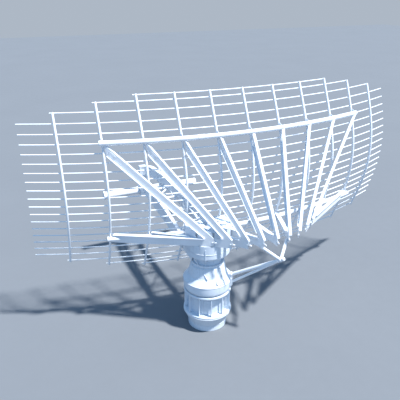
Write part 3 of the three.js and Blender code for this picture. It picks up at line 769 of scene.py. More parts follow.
def truss_place(step):
    """The tail, the forward direction, the length and the heights of both beams of one frame."""
    sweep = TAIL_REACH - TAIL_SWEEP * step ** 2
    tail = Vector((REFLECTOR_MIDDLE - TAIL_PITCH * step, sweep, TAIL_BOTTOM))
    upper = beam_seat("upper_beam", step)
    forward = (upper - tail) * Vector((1, 1, 0))
    length = forward.length - 0.020
    return tail, forward.normalized(), length, upper.z, beam_seat("lower_beam", step).z


def truss_stiffeners(bm, at, ahead, side, slope, skin, length):
    """Small triangular plates under the upper strut's flange."""
    sloped = (ahead + UP * slope).normalized()
    axes = axes_of(side, side.cross(sloped), sloped)
    down = -1 if axes.col[1].z > 0 else 1
    outline = [(0.0, 0.0), (UPPER_FLANGE - 0.012, 0.0), (UPPER_FLANGE - 0.014, 0.010), (0.010, 0.070),
               (0.0, 0.070)]
    outline = [(x, down * y) for x, y in outline]
    count = max(3, int(length / 0.45))
    for k in range(1, count):
        along = 0.35 + (length - 0.45) * k / count
        corner = at(along, PLATE / 2, TAIL_TOP + slope * along - skin)
        prism(bm, outline, Matrix.Translation(corner) @ axes, -0.003, 0.003)


def beam_doubler(bm, hardware, at, ahead, side, tilt, height, length):
    """A doubler plate through a strut's end, bolted from both sides."""
    reach = 0.135
    heel = length - 0.060 - reach
    centre = at(heel + reach / 2, 0, height - tilt * (length - heel - reach / 2))
    along = (ahead + UP * tilt).normalized()
    axes = axes_of(along, side.cross(along), side)
    slab(bm, Matrix.Translation(centre) @ axes, reach, 0.070, -0.007, 0.007, 0.014)
    for back in (0.090, 0.166):
        for lift in (-0.020, 0.020):
            for hand in (-1, 1):
                spot = at(length - back, hand * 0.007, height - tilt * back + lift)
                bolt(hardware, spot, side * hand, 0.006)


def tail_nut(bm, place, axis):
    """The washer and nut on a frame's tail pin."""
    turn_profile(bm, section(0, 0.026, 0, 0.005), turned_frame(place, axis), 20)
    nut = [(0, 0.005), (0.021, 0.005), (0.021, 0.022), (0.017, 0.025), (0, 0.025)]
    turn_profile(bm, nut, turned_frame(place, axis), 6)


def trusses():
    """Each frame keeps its CAD plates and gains welds, stiffeners, doublers, bolts and a nut."""
    welds = bmesh.new()
    plates = bmesh.new()
    hardware = bmesh.new()
    for step in TRUSS_STEPS:
        keep_node(f"truss_{step + 6:02d}", FRAME_PAINT, edge=0.0018)
        tail, ahead, length, upper_z, lower_z = truss_place(step)
        side = ahead.cross(UP)
        base = tail * Vector((1, 1, 0))
        slope = (upper_z - TAIL_TOP) / length
        fall = (lower_z + LOWER_END_DEPTH / 2 - TAIL_TOP) / length

        def at(along, sideways, height):
            return base + ahead * along + side * sideways + UP * height

        skin = PLATE * math.hypot(1, slope)
        run = (0.42, length - 0.10)
        bead(welds, [at(a, PLATE / 2 + 0.001, TAIL_TOP + slope * a - skin - 0.001) for a in run])
        start = CROWDED_DECK_START if abs(step) == CROWDED_STEP else DECK_START
        run = (start + 0.02, length - 0.10)
        for sideways in (-PLATE / 2 - 0.001, PLATE / 2 + 0.001):
            bead(welds, [at(a, sideways, TAIL_TOP + fall * a - PLATE - 0.001) for a in run])
        truss_stiffeners(plates, at, ahead, side, slope, skin, length)
        for height in (upper_z - UPPER_END_DEPTH / 2, lower_z):
            tilt = (height - TAIL_TOP + TAIL_DEPTH / 2) / length
            beam_doubler(plates, hardware, at, ahead, side, tilt, height, length)
        tail_nut(hardware, at(0, 0, TAIL_BOTTOM + TAIL_DEPTH / 2), -ahead)
    weld_piece("truss_welds", welds, "turret", "frame_paint")
    piece("truss_stiffeners", plates, "turret", FRAME_PAINT, edge=0.001)
    bolt_piece("truss_bolts", hardware, "turret")


# ---------------------------------------------------------------- pedestal


def pedestal_base():
    """The hollow foot with its flared skirt, two weld seams and a ring of bolts."""
    bm = bmesh.new()
    wall = 0.020
    outside = [(0, 0), (BASE_RADIUS, 0), (BASE_RADIUS, SKIRT_START), (SKIRT_RADIUS, 0.300),
               (SKIRT_RADIUS, 0.338), (SKIRT_RADIUS - 0.012, SKIRT_TOP), (0.300, SKIRT_TOP)]
    inside = [(0.300, SKIRT_TOP - wall), (0.400, SKIRT_TOP - wall), (0.400, 0.305),
              (BASE_RADIUS - wall, SKIRT_START + 0.010), (BASE_RADIUS - wall, 0.025), (0, 0.025)]
    turn_profile(bm, rounded(outside + inside, 0.006, closed=False), sides=144)
    piece("pedestal_base_shell", bm, "pedestal", HOUSING_PAINT, stands_for=["pedestal_base"])

    bm = bmesh.new()
    bead(bm, circle(Vector((0, 0, SKIRT_START)), UP, BASE_RADIUS + 0.0015, 96), 0.005)
    bead(bm, circle(Vector((0, 0, 0.302)), UP, SKIRT_RADIUS - 0.0005, 96), 0.004)
    weld_piece("pedestal_base_welds", bm, "pedestal", "housing_paint")

    bm = bmesh.new()
    bolt_circle(bm, Vector((0, 0, SKIRT_TOP)), UP, 0.3605, 36, 0.008)
    bolt_piece("skirt_bolts", bm, "pedestal")


def wall_arc(bm, inner, outer, low, high, start, end, steps):
    """A curved slab of the drum's wall between two angles."""
    angles = [start + (end - start) * k / steps for k in range(steps + 1)]
    outline = [(outer * math.cos(a), outer * math.sin(a)) for a in angles]
    outline += [(inner * math.cos(a), inner * math.sin(a)) for a in reversed(angles)]
    prism(bm, outline, Matrix(), low, high)


def pedestal_drum():
    """The drum with its doorway, the motor deck on gussets inside, and two bands."""
    inner = DRUM_RADIUS - DRUM_WALL
    opening = RACE_BORE + 0.0005
    foot, top = DRUM[0].z, DRUM[1].z
    bm = bmesh.new()
    profile = [(inner, foot), (DRUM_RADIUS, foot), (DRUM_RADIUS, top), (opening, top),
               (opening, top - 0.018), (inner, top - 0.018)]
    turned_ring(bm, profile, 0.003)
    made = piece("pedestal_drum_shell", bm, "pedestal", HOUSING_PAINT, stands_for=["pedestal_drum"])
    half = math.radians(DOOR_ARC / 2)
    start, end = DOOR_MIDDLE - half, DOOR_MIDDLE + half
    cut_away(made, "doorway", lambda cutter: wall_arc(
        cutter, inner - 0.03, DRUM_RADIUS + 0.03, DOOR_LOW, DOOR_HIGH, start, end, 16))

    bm = bmesh.new()
    deck = section(JOINT_HOLE, inner + 0.002, DECK_LEVEL, DECK_LEVEL + 0.012)
    turn_profile(bm, deck, sides=96, closed=True)
    for k in range(8):
        out = outward(math.radians(22.5 + 45 * k))
        matrix = turned_frame(out * (inner - 0.030) + UP * (DECK_LEVEL - 0.030), out.cross(UP))
        prism(bm, [(0.0, 0.030), (0.0, -0.050), (0.030, 0.030)], matrix, -0.004, 0.004)
    piece("motor_deck", bm, "pedestal", HOUSING_PAINT, edge=0.001)

    bm = bmesh.new()
    seat = DRUM_RADIUS - 0.002
    foot_band = section(seat, 0.372, foot, foot + 0.008)
    upper_band = section(seat, DRUM_RADIUS + 0.008, 0.640, 0.656)
    for band in (foot_band, upper_band):
        turned_ring(bm, band, 0.002)
    piece("drum_bands", bm, "pedestal", HOUSING_PAINT)


def guard_cage():
    """A ring on flat upright bars, each with a shoe and bolts."""
    low, high = 0.715, CAGE[1].z
    bm = bmesh.new()
    ring = [(CAGE_RADIUS - 0.028, low), (CAGE_RADIUS, low), (CAGE_RADIUS + 0.006, low + 0.012),
            (CAGE_RADIUS + 0.006, high - 0.010), (CAGE_RADIUS, high), (CAGE_RADIUS - 0.028, high)]
    turned_ring(bm, ring, 0.004)
    piece("cage_ring", bm, "pedestal", HOUSING_PAINT, stands_for=["guard_cage"])

    bars = bmesh.new()
    hardware = bmesh.new()
    foot = CAGE[0].z
    for k in range(CAGE_BARS):
        angle = math.radians(CAGE_FIRST_BAR + 360 * k / CAGE_BARS)
        out = outward(angle)
        turned = Matrix.Rotation(angle, 4, "Z")
        slab(bars, turned @ moved(CAGE_RADIUS - 0.0255, 0, 0), 0.049, 0.014, foot, low + 0.010, 0.005)
        slab(bars, turned @ moved(CAGE_RADIUS - 0.026, 0, 0), 0.030, 0.060, foot, foot + 0.010, 0.006)
        for hand in (-1, 1):
            sideways = UP.cross(out) * hand * 0.021
            bolt(hardware, out * (CAGE_RADIUS - 0.026) + sideways + UP * (foot + 0.010), UP, 0.007)
        bolt(hardware, out * (CAGE_RADIUS + 0.006) + UP * (low + 0.024), out, 0.008)
    piece("cage_bars", bars, "pedestal", HOUSING_PAINT, edge=0.0015)
    bolt_piece("cage_bolts", hardware, "pedestal")


def access_door():
    """A curved door with two pressed ribs, louvres, three hinge leaves on a pin and a lever."""
    radius = DRUM_RADIUS
    half = math.radians(DOOR_ARC / 2 - 0.4)
    start, end = DOOR_MIDDLE - half, DOOR_MIDDLE + half
    bm = bmesh.new()
    wall_arc(bm, radius - 0.006, radius + 0.003, DOOR_LOW + 0.002, DOOR_HIGH - 0.002, start, end, 20)
    inset = math.radians(1.7)
    for low, high in ((DOOR_LOW + 0.010, DOOR_LOW + 0.022), (DOOR_HIGH - 0.022, DOOR_HIGH - 0.010)):
        wall_arc(bm, radius + 0.002, radius + 0.006, low, high, start + inset, end - inset, 20)
    for k in range(5):
        height = 0.462 + 0.012 * k
        louvre = (height, height + 0.005, DOOR_MIDDLE - 0.10, DOOR_MIDDLE + 0.03)
        wall_arc(bm, radius + 0.002, radius + 0.0075, *louvre, 8)
    hinge = outward(math.radians(-90 - DOOR_ARC / 2)) * (radius + 0.008)
    for low in (DOOR_LOW + 0.020, DOOR_LOW + 0.064, DOOR_LOW + 0.108):
        leaf = Matrix.Translation(hinge + Vector((0.013, -0.001, low)))
        slab(bm, leaf, 0.026, 0.004, 0, 0.030)
    piece("door_panel", bm, "door", HOUSING_PAINT, edge=0.0008, stands_for=["access_door"])

    bm = bmesh.new()
    pin = section(0, 0.0048, DOOR_LOW + 0.020, DOOR_HIGH - 0.020)
    turn_profile(bm, rounded(pin, 0.001, closed=False), Matrix.Translation(hinge), 16)
    stem = Vector((0.056, -radius + 0.002, 0.505))
    turn_profile(bm, [(0, 0), (0.007, 0), (0.007, 0.010), (0.005, 0.012), (0, 0.012)],
                 turned_frame(stem, Vector((0, -1, 0))), 16)
    lever = Matrix.Translation(stem + Vector((0, -0.011, 0)))
    slab(bm, lever, 0.010, 0.006, -0.024, 0.024, 0.0025)
    piece("door_hardware", bm, "door", FASTENER, edge=0.0006)


def motor_and_brake():
    """A finned motor hung under the deck, with a terminal box and a brake below."""
    low, top = MOTOR[0].z, MOTOR[1].z
    centre = moved(MOTOR_X, 0, 0)
    bm = bmesh.new()
    profile = [(0, low), (0.040, low), (0.045, low + 0.006), (0.045, low + 0.042), (0.060, low + 0.046),
               (0.060, top - 0.010), (0.085, top - 0.010), (0.085, top), (0, top)]
    turn_profile(bm, rounded(profile, 0.002, closed=False), centre, 64)
    behind_box = (8, 9, 10)
    for k in range(36):
        if k in behind_box:
            continue
        turn = Matrix.Rotation(2 * math.pi * k / 36, 4, "Z")
        fin = centre @ turn @ moved(0.063, 0, 0)
        slab(bm, fin, 0.010, 0.0024, low + 0.052, top - 0.018)
    box = centre @ moved(0, 0.068, 0)
    slab(bm, box, 0.050, 0.024, 0.500, 0.560, 0.004)
    piece("motor_body", bm, "pedestal", MOTOR_PAINT, edge=0.0006, stands_for=["drive_motor"])

    bm = bmesh.new()
    bolt_circle(bm, Vector((MOTOR_X, 0, top - 0.010)), -UP, 0.075, 8, 0.007)
    bolt_piece("motor_bolts", bm, "pedestal")


def bearing_and_rotary_joint():
    """The slewing bearing's outer race, and the rotary joint that the feed line turns on."""
    low, high = BEARING[0].z, BEARING[1].z
    outer, inner = BEARING[1].x, RACE_BORE
    bm = bmesh.new()
    profile = [(inner, low), (outer, low), (outer, low + 0.018), (outer - 0.004, low + 0.022),
               (outer - 0.004, low + 0.027), (outer, low + 0.031), (outer, high), (inner, high)]
    turned_ring(bm, profile, 0.0015)
    piece("bearing_outer_race", bm, "pedestal", STEEL, stands_for=["bearing_ring"])

    bm = bmesh.new()
    foot, top = JOINT[0].z, JOINT[1].z
    profile = [(0.025, foot), (0.095, foot), (0.095, foot + 0.010), (0.062, foot + 0.010), (0.062, 0.700),
               (0.058, 0.704), (0.058, 0.712), (0.062, 0.716), (0.062, top), (0.025, top)]
    turn_profile(bm, rounded(profile, 0.0015), sides=72, closed=True)
    piece("rotary_joint_body", bm, "pedestal", STEEL, stands_for=["rotary_joint"])

    bm = bmesh.new()
    bolt_circle(bm, Vector((0, 0, foot + 0.010)), UP, 0.079, 8, 0.007)
    bolt_piece("rotary_joint_bolts", bm, "pedestal")


# ---------------------------------------------------------------- turret

HOUSING_OUTSIDE = [(0.390, 0.778), (0.404, 0.778), (0.428, 0.820), (SHOULDER_RADIUS, 0.872),
                   (SHOULDER_RADIUS, SHOULDER_TOP), (CONE_RADIUS, CONE_TOP), (NECK_ROOT_RADIUS, NECK_ROOT),
                   (NECK_RADIUS, NECK_TOP)]


def housing_radius(height):
    """The housing's outer radius at a height."""
    for (r0, z0), (r1, z1) in zip(HOUSING_OUTSIDE[1:], HOUSING_OUTSIDE[2:]):
        if z0 <= height <= z1:
            return r0 + (r1 - r0) * (height - z0) / (z1 - z0)
    return HOUSING_OUTSIDE[-1][0]


def turret_housing():
    """The hollow shoulder and neck, with welds round each bend and two upright seams."""
    floor = HOUSING[0].z + 0.0285
    outside = [(WAY_THROUGH, floor), (0.390, floor)] + HOUSING_OUTSIDE
    inside = [(0.246, NECK_TOP), (0.284, 1.244), (0.328, 1.068), (0.416, 0.953), (0.416, 0.880),
              (0.412, floor + 0.014), (WAY_THROUGH, floor + 0.014)]
    bm = bmesh.new()
    turned_ring(bm, outside + inside, 0.008)
    piece("turret_shell", bm, "turret", HOUSING_PAINT, stands_for=["turret_housing"])

    bm = bmesh.new()
    for height in (SHOULDER_TOP, CONE_TOP, NECK_ROOT):
        bead(bm, circle(Vector((0, 0, height)), UP, housing_radius(height) + 0.0005, 96), 0.0045)
    for degrees in (10, 190):
        out = outward(math.radians(degrees))
        heights = [SHOULDER_TOP + 0.002, CONE_TOP, NECK_ROOT, 1.295]
        bead(bm, [out * (housing_radius(z) + 0.0008) + UP * z for z in heights], 0.004)
    weld_piece("turret_welds", bm, "turret", "housing_paint")


def neck_flange():
    """The bolted flange between the housing's neck and the head."""
    bm = bmesh.new()
    below, above = NECK_TOP - 0.016, NECK_TOP + 0.018
    turned_ring(bm, section(0.240, 0.292, below, above), 0.003)
    piece("neck_flange", bm, "turret", HOUSING_PAINT)

    bm = bmesh.new()
    for k in range(24):
        out = outward(2 * math.pi * (k + 0.5) / 24) * 0.279
        bolt(bm, out + UP * above, UP, 0.009)
        bolt(bm, out + UP * below, -UP, 0.009)
    bolt_piece("neck_bolts", bm, "turret")


def neck_gussets():
    """Thin upright plates from the head's wall, round the bowl, down to the neck."""
    bm = bmesh.new()
    wall = HEAD_RADIUS
    outline = [(wall - 0.004, 1.700), (wall + 0.008, 1.690), (wall + 0.010, 1.500), (0.292, 1.345),
               (0.258, 1.330), (0.240, 1.392), (wall - 0.010, 1.492)]
    for degrees in NECK_GUSSETS:
        out = outward(math.radians(degrees))
        axes = axes_of(out, UP, out.cross(UP))
        prism(bm, rounded(outline, 0.004), axes, -0.004, 0.004)
    piece("neck_gussets", bm, "turret", HOUSING_PAINT, edge=0.0012)


def inspection_covers():
    """Two oval covers on the shoulder, each with a gasket and bolts."""
    covers = bmesh.new()
    seals = bmesh.new()
    hardware = bmesh.new()
    height = 1.018
    for degrees in (100, 280):
        out = outward(math.radians(degrees))
        normal = (out * (CONE_TOP - SHOULDER_TOP) + UP * (SHOULDER_RADIUS - CONE_RADIUS)).normalized()
        place = out * housing_radius(height) + UP * height
        matrix = turned_frame(place, normal, UP)
        turns = [2 * math.pi * k / 36 for k in range(36)]
        oval = [(0.085 * math.cos(t), 0.050 * math.sin(t)) for t in turns]
        prism(seals, [(1.04 * x, 1.06 * y) for x, y in oval], matrix, -0.012, 0.003)
        prism(covers, oval, matrix, 0.003, 0.012)
        for k in range(8):
            t = 2 * math.pi * (k + 0.5) / 8
            spot = matrix @ Vector((0.072 * math.cos(t), 0.038 * math.sin(t), 0.012))
            bolt(hardware, spot, normal, 0.007)
    piece("inspection_covers", covers, "turret", HOUSING_PAINT, edge=0.002)
    piece("cover_seals", seals, "turret", RUBBER, edge=0.001)
    bolt_piece("cover_bolts", hardware, "turret")


def head_outline(radius, front, steps=72):
    """A circle cut flat in front."""
    half = math.acos(-front / radius)
    start = -math.pi / 2 + half
    arc = 2 * math.pi - 2 * half
    return [(radius * math.cos(start + arc * k / steps), radius * math.sin(start + arc * k / steps))
            for k in range(steps + 1)]


def head_flat():
    """The head is cut flat beside the frame that runs past it: axes whose Y points out of the
    flat, the flat's distance from the turret's axis, and the height where it starts."""
    tail, ahead = truss_place(-LAST_STEP)[:2]
    out = -ahead.cross(UP)
    return axes_of(UP.cross(out), out, UP), tail.dot(out) - PLATE / 2 - 0.002, TAIL_BOTTOM - 0.008


def beside_first_truss(bm, top):
    """The room outside the head's flat."""
    axes, distance, low = head_flat()
    corners = [(-0.45, distance), (0.45, distance), (0.45, distance + 0.30), (-0.45, distance + 0.30)]
    prism(bm, corners, axes, low, top)


def head_flat_plate(bm, top, wall):
    """The wall and the sill that close the head along its flat."""
    axes, distance, low = head_flat()
    radius = HEAD_RADIUS - 0.002
    reach = math.sqrt(radius ** 2 - distance ** 2)
    inner = distance - wall
    upright = [(-reach, inner), (reach, inner), (reach, distance), (-reach, distance)]
    prism(bm, upright, axes, low - wall, top - 0.002)
    steps = 24
    half = math.acos(distance / radius)
    angles = [half - 2 * half * k / steps for k in range(steps + 1)]
    sill = [(radius * math.sin(a), radius * math.cos(a)) for a in angles]
    prism(bm, sill, axes, low - wall, low)


def turret_head():
    """The head: a bowl, a drum with a roof and a flat side, and the weld between them."""
    foot, top = HEAD[0].z, HEAD[1].z
    wall = 0.014
    bm = bmesh.new()
    outside = [(WAY_THROUGH, foot), (NECK_RADIUS - 0.004, foot), (0.235, 1.390), (0.385, 1.490),
               (HEAD_RADIUS, 1.512), (HEAD_RADIUS, HEAD_FLOOR + wall), (WAY_THROUGH, HEAD_FLOOR + wall)]
    inside = [(WAY_THROUGH, HEAD_FLOOR), (HEAD_RADIUS - wall, HEAD_FLOOR), (HEAD_RADIUS - wall, 1.518),
              (0.375, 1.502), (0.221, 1.398), (0.236, foot + wall), (WAY_THROUGH, foot + wall)]
    turned_ring(bm, outside + inside, 0.006)
    piece("head_bowl", bm, "turret", HOUSING_PAINT, stands_for=["turret_head"])

    bm = bmesh.new()
    prism(bm, rounded(head_outline(HEAD_RADIUS, HEAD_FRONT), 0.012), Matrix(), HEAD_FLOOR + 0.012, top)
    made = piece("head_drum", bm, "turret", HOUSING_PAINT, edge=0.004, angle=50)
    room = head_outline(HEAD_RADIUS - wall, HEAD_FRONT + wall)
    cut_away(made, "head_room", lambda cutter: prism(cutter, room, Matrix(), HEAD_FLOOR, top - wall))
    cut_away(made, "head_flat_room", lambda cutter: beside_first_truss(cutter, top + 0.010))

    bm = bmesh.new()
    head_flat_plate(bm, top, wall)
    piece("head_flat", bm, "turret", HOUSING_PAINT, edge=0.0015)

    bm = bmesh.new()
    line = [Vector((x, y, HEAD_FLOOR + 0.006)) for x, y in head_outline(HEAD_RADIUS + 0.001, HEAD_FRONT)]
    bead(bm, line, 0.004)
    weld_piece("head_welds", bm, "turret", "housing_paint")


def deck_equipment():
    """The head's roof carries a hatch, a box, a duct saddle, a round gland, lifting eyes and cables."""
    top = HEAD[1].z
    plates = bmesh.new()
    hardware = bmesh.new()
    hatch = moved(0.175, 0.120, top)
    slab(plates, hatch, 0.190, 0.230, 0, 0.010, 0.025)
    slab(plates, hatch, 0.150, 0.190, 0.010, 0.016, 0.018)
    for x in (-0.080, 0, 0.080):
        for y in (-0.102, 0.102):
            bolt(hardware, hatch @ Vector((x, y, 0.010)), UP, 0.008)
    box = moved(-0.170, 0.215, top)
    slab(plates, box, 0.120, 0.090, 0, 0.058, 0.010)
    slab(plates, box, 0.132, 0.102, 0.058, 0.064, 0.010)
    saddle = moved(0, 0.100, top)
    slab(plates, saddle, 0.200, 0.080, 0, 0.010, 0.012)
    gland = [(0, top), (0.078, top), (0.078, top + 0.014), (0.052, top + 0.016), (0.052, top + 0.050),
             (0.040, top + 0.062), (0, top + 0.062)]
    turn_profile(plates, rounded(gland, 0.004, closed=False), moved(0.030, 0.285, 0), 48)
    bolt_circle(hardware, Vector((0.030, 0.285, top + 0.014)), UP, 0.066, 8, 0.007)
    for x in (-0.080, 0.080):
        bolt(hardware, saddle @ Vector((x, 0, 0.010)), UP, 0.009)
    for degrees in (25, 80, 155):
        out = outward(math.radians(degrees))
        foot = out * 0.345 + UP * top
        turns = [2 * math.pi * k / 20 for k in range(21)]
        eye = [foot + out.cross(UP) * 0.020 * math.cos(t) + UP * (0.020 + 0.020 * math.sin(t))
               for t in turns]
        tube(plates, eye, 0.006, 8)
    piece("roof_fittings", plates, "turret", HOUSING_PAINT, edge=0.0015)
    bolt_piece("roof_bolts", hardware, "turret")

    cable = bmesh.new()
    main_run = ((-0.170, 0.170, 0.030), (-0.165, 0.120, 0.030), (-0.120, 0.060, 0.024),
                (-0.075, 0.020, 0.024), (-0.070, -0.060, 0.024))
    short_run = ((-0.110, 0.225, 0.030), (-0.050, 0.240, 0.026), (-0.020, 0.270, 0.030))
    for run, radius in ((main_run, 0.009), (short_run, 0.007)):
        line = [Vector((x, y, top + lift)) for x, y, lift in run]
        tube(cable, smooth_line(line, 8), radius, 10)
    piece("roof_cables", cable, "turret", RUBBER, angle=60)


def neck_braces():
    """Angle-section braces from the head's bowl down to the shoulder."""
    bm = bmesh.new()
    for hand in (-1, 1):
        top = Vector((hand * 0.300, 0, 1.500))
        foot = Vector((hand * 0.133, 0.318, 1.090))
        along = (foot - top).normalized()
        out = Vector((hand * 0.6, 0.8, 0)).normalized()
        out = (out - along * out.dot(along)).normalized()
        side = along.cross(out)
        axes = axes_of(out, side, along)
        matrix = Matrix.Translation(top) @ axes
        length = (foot - top).length
        leg, thick = 0.026, 0.005
        angle_section = [(0, 0), (leg, 0), (leg, thick), (thick, thick), (thick, leg), (0, leg)]
        prism(bm, angle_section, matrix, 0, length)
    piece("neck_braces", bm, "turret", FRAME_PAINT, edge=0.0015)


# ---------------------------------------------------------------- boom, feed and waveguide


def boom_fittings():
    """The boom keeps its CAD shape and gains a bolted pad at each rung's end, and stiffeners."""
    keep_node("boom", FRAME_PAINT, edge=0.0018)
    # Each rung is a y and a z. Each stiffener is a y, its foot and its top.
    rungs = ((-0.700, 1.480), (-1.400, 1.560), (-2.100, 1.640), (-2.700, 1.610))
    stiffeners = ((-1.050, 1.392, 1.626), (-1.750, 1.464, 1.720), (-2.400, 1.512, 1.740))
    plates = bmesh.new()
    hardware = bmesh.new()
    for y, z in rungs:
        for hand in (-1, 1):
            face = Vector((hand * (BOOM_SIDE + BOOM_PLATE), y, z))
            out = Vector((hand, 0, 0))
            pad = rounded(section(0, 0.052, 0, 0.008), 0.002, closed=False)
            turn_profile(plates, pad, turned_frame(face, out), 40)
            bolt_circle(hardware, face + out * 0.008, out, 0.038, 6, 0.008)
            inner = Vector((hand * (BOOM_SIDE - BOOM_PLATE), y, z))
            turn_profile(plates, [(0.022, 0), (0.040, 0), (0.028, 0.018), (0.022, 0.018)],
                         turned_frame(inner, -out), 40, closed=True)
    for y, low, high in stiffeners:
        for hand in (-1, 1):
            place = Vector((hand * (BOOM_SIDE - BOOM_PLATE), y, 0))
            axes = axes_of(Vector((-hand, 0, 0)), UP, Vector((0, hand, 0)))
            outline = [(0, low), (0.030, low + 0.030), (0.044, high - 0.015), (0, high)]
            prism(plates, outline, Matrix.Translation(place) @ axes, -0.004, 0.004)
    piece("boom_fittings", plates, "turret", FRAME_PAINT, edge=0.001)
    bolt_piece("boom_bolts", hardware, "turret")


def feed():
    """The line feed: a round tube with a collar, a lip, seam bands and clamps on the boom."""
    low, high = FEED[0].x, FEED[1].x
    matrix = moved(0, FEED_Y, FEED_Z) @ Matrix.Rotation(math.pi / 2, 4, "Y")
    bm = bmesh.new()
    collar = 0.084
    lip = 0.096
    profile = [(0, low), (collar, low), (collar, low + 0.024), (FEED_RADIUS, low + 0.026),
               (FEED_RADIUS, high - 0.032), (lip, high - 0.030), (lip, high), (0.070, high),
               (0.066, high - 0.010), (0, high - 0.012)]
    turn_profile(bm, rounded(profile, 0.003, closed=False), matrix, 72)
    piece("feed_shell", bm, "turret", FEED_PAINT, stands_for=["feed_tube"])

    bm = bmesh.new()
    hardware = bmesh.new()
    seat = FEED_RADIUS - 0.001
    clamp = FEED_RADIUS + 0.010
    seams = (-0.66, 0.66)
    clamp_sides = (-0.034, 0.034)
    for x in seams:
        band = section(seat, FEED_RADIUS + 0.004, x - 0.014, x + 0.014)
        turn_profile(bm, rounded(band, 0.0015), matrix, 72, closed=True)
    for hand in (-1, 1):
        for side in clamp_sides:
            x = hand * BOOM_SIDE + side
            ring = section(seat, clamp, x - 0.016, x + 0.016)
            turn_profile(bm, rounded(ring, 0.003), matrix, 72, closed=True)
        for turn in range(6):
            angle = math.radians(60 * turn + 15)
            out = Vector((0, math.cos(angle), math.sin(angle)))
            for side in clamp_sides:
                spot = Vector((hand * BOOM_SIDE + side, FEED_Y, FEED_Z)) + out * clamp
                bolt(hardware, spot, out, 0.007)
    piece("feed_clamps", bm, "turret", FEED_PAINT)
    for k in range(8):
        angle = 2 * math.pi * k / 8
        spot = Vector((high, FEED_Y + 0.083 * math.cos(angle), FEED_Z + 0.083 * math.sin(angle)))
        bolt(hardware, spot - Vector((0.004, 0, 0)), Vector((1, 0, 0)), 0.004)
    bolt_piece("feed_bolts", hardware, "turret")


def waveguide():
    """The duct keeps its CAD shape and gains flanged joints, bolts and posts."""
    keep_node("waveguide", DUCT_PAINT, edge=0.004)
    frames = bmesh.new()
    hardware = bmesh.new()
    half = DUCT_WIDTH / 2
    # Each joint is a y, the duct's underside there and its top. Each post is a y, a foot and a top.
    joints = ((-0.300, 2.018, 2.112), (-1.020, 1.998, 2.121), (-1.740, 1.968, 2.130),
              (-2.440, 1.900, 2.096))
    flange = 0.010
    for y, low, high in joints:
        for side in (-1, 1):
            outer = [(-half - flange, low - flange), (half + flange, low - flange),
                     (half + flange, high + flange), (-half - flange, high + flange)]
            axes = axes_of(Vector((1, 0, 0)), UP, Vector((0, -1, 0)))
            plate = moved(0, y + side * 0.006, 0) @ axes
            prism(frames, rounded(outer, 0.008), plate, -0.005, 0.005)
            out = half + 0.009
            middle = (low + high) / 2
            below, above = low - 0.009, high + 0.009
            for x, z in ((-out, below), (out, below), (-out, above), (out, above), (0, above),
                         (-out, middle), (out, middle)):
                bolt(hardware, Vector((x, y + side * 0.011, z)), Vector((0, side, 0)), 0.006)
    posts = ((-1.400, 1.560, 1.990), (-2.100, 1.640, 1.935))
    for y, foot, low in posts:
        for hand in (-1, 1):
            post = [Vector((hand * 0.160, y, foot)), Vector((hand * 0.035, y, low + 0.008))]
            tube(frames, post, 0.013, 12)
        slab(frames, moved(0, y, low), 0.120, 0.050, -0.006, 0.004, 0.006)
    piece("duct_fittings", frames, "turret", DUCT_PAINT, edge=0.001)
    bolt_piece("duct_bolts", hardware, "turret")


# ---------------------------------------------------------------- outrigger


def arm_root(radius, height):
    """A point above or below the outrigger's line from the turret's axis."""
    return outward(ARM_ANGLE, radius) + UP * height


def outrigger():
    """Two bars from the turret to a ball, two struts on to the frames, and the turret's pad."""
    upper = arm_root(ARM_ROOT - 0.020, ARM_UPPER_ROOT)
    lower = arm_root(ARM_ROOT - 0.010, ARM_LOWER_ROOT)
    beyond = ARM_TIP + (ARM_TIP - upper).normalized() * 0.070
    bm = bmesh.new()
    tube(bm, [arm_root(ARM_ROOT + 0.03, ARM_UPPER_ROOT + 0.018), beyond], ARM_BAR, 28, 0.2)
    tube(bm, [lower, ARM_TIP], ARM_BAR * 0.75, 24)
    for step in (-1, 1):
        tail, ahead = truss_place(step)[:2]
        foot = tail + ahead * 0.120
        foot.z = TAIL_BOTTOM + 0.020
        tube(bm, [ARM_TIP, foot - (foot - ARM_TIP).normalized() * 0.030], 0.026, 24)
    piece("outrigger_bars", bm, "turret", FRAME_PAINT, angle=50, stands_for=["outrigger"])

    bm = bmesh.new()
    hardware = bmesh.new()
    out = arm_root(1, 0)
    side = out.cross(UP)
    axes = axes_of(side, UP, out)
    pad = Matrix.Translation(out * (ARM_ROOT + 0.026) + UP * 0.920) @ axes
    slab(bm, pad, 0.116, 0.240, -0.012, 0.010, 0.010)
    cheek = axes_of(out, UP, side)
    outline = [(ARM_ROOT + 0.030, 0.805), (ARM_ROOT + 0.055, 0.812), (ARM_ROOT + 0.055, 1.032),
               (ARM_ROOT + 0.030, 1.038), (ARM_ROOT - 0.015, 1.038), (ARM_ROOT - 0.015, 0.805)]
    for hand in (-1, 1):
        place = Matrix.Translation(side * hand * 0.036) @ cheek
        prism(bm, rounded(outline, 0.008), place, -0.005, 0.005)
        for height in (0.822, 0.880, 0.940, 1.015):
            spot = out * (ARM_ROOT + 0.036) + side * hand * 0.049 + UP * height
            bolt(hardware, spot, out, 0.008)
    collar = rounded(section(ARM_BAR - 0.002, ARM_BAR + 0.006, 0.045, 0.060), 0.002)
    for axis in (ARM_TIP - upper, upper - ARM_TIP):
        turn_profile(bm, collar, turned_frame(ARM_TIP, axis), 32, closed=True)
    radius = ARM_BAR * 1.25
    arc = [(radius * math.sin(math.pi * k / 16), -radius * math.cos(math.pi * k / 16)) for k in range(17)]
    turn_profile(bm, arc, Matrix.Translation(ARM_TIP), 32)
    piece("outrigger_fittings", bm, "turret", FRAME_PAINT, edge=0.001)
    bolt_piece("outrigger_bolts", hardware, "turret")


# ---------------------------------------------------------------- stage, light and camera


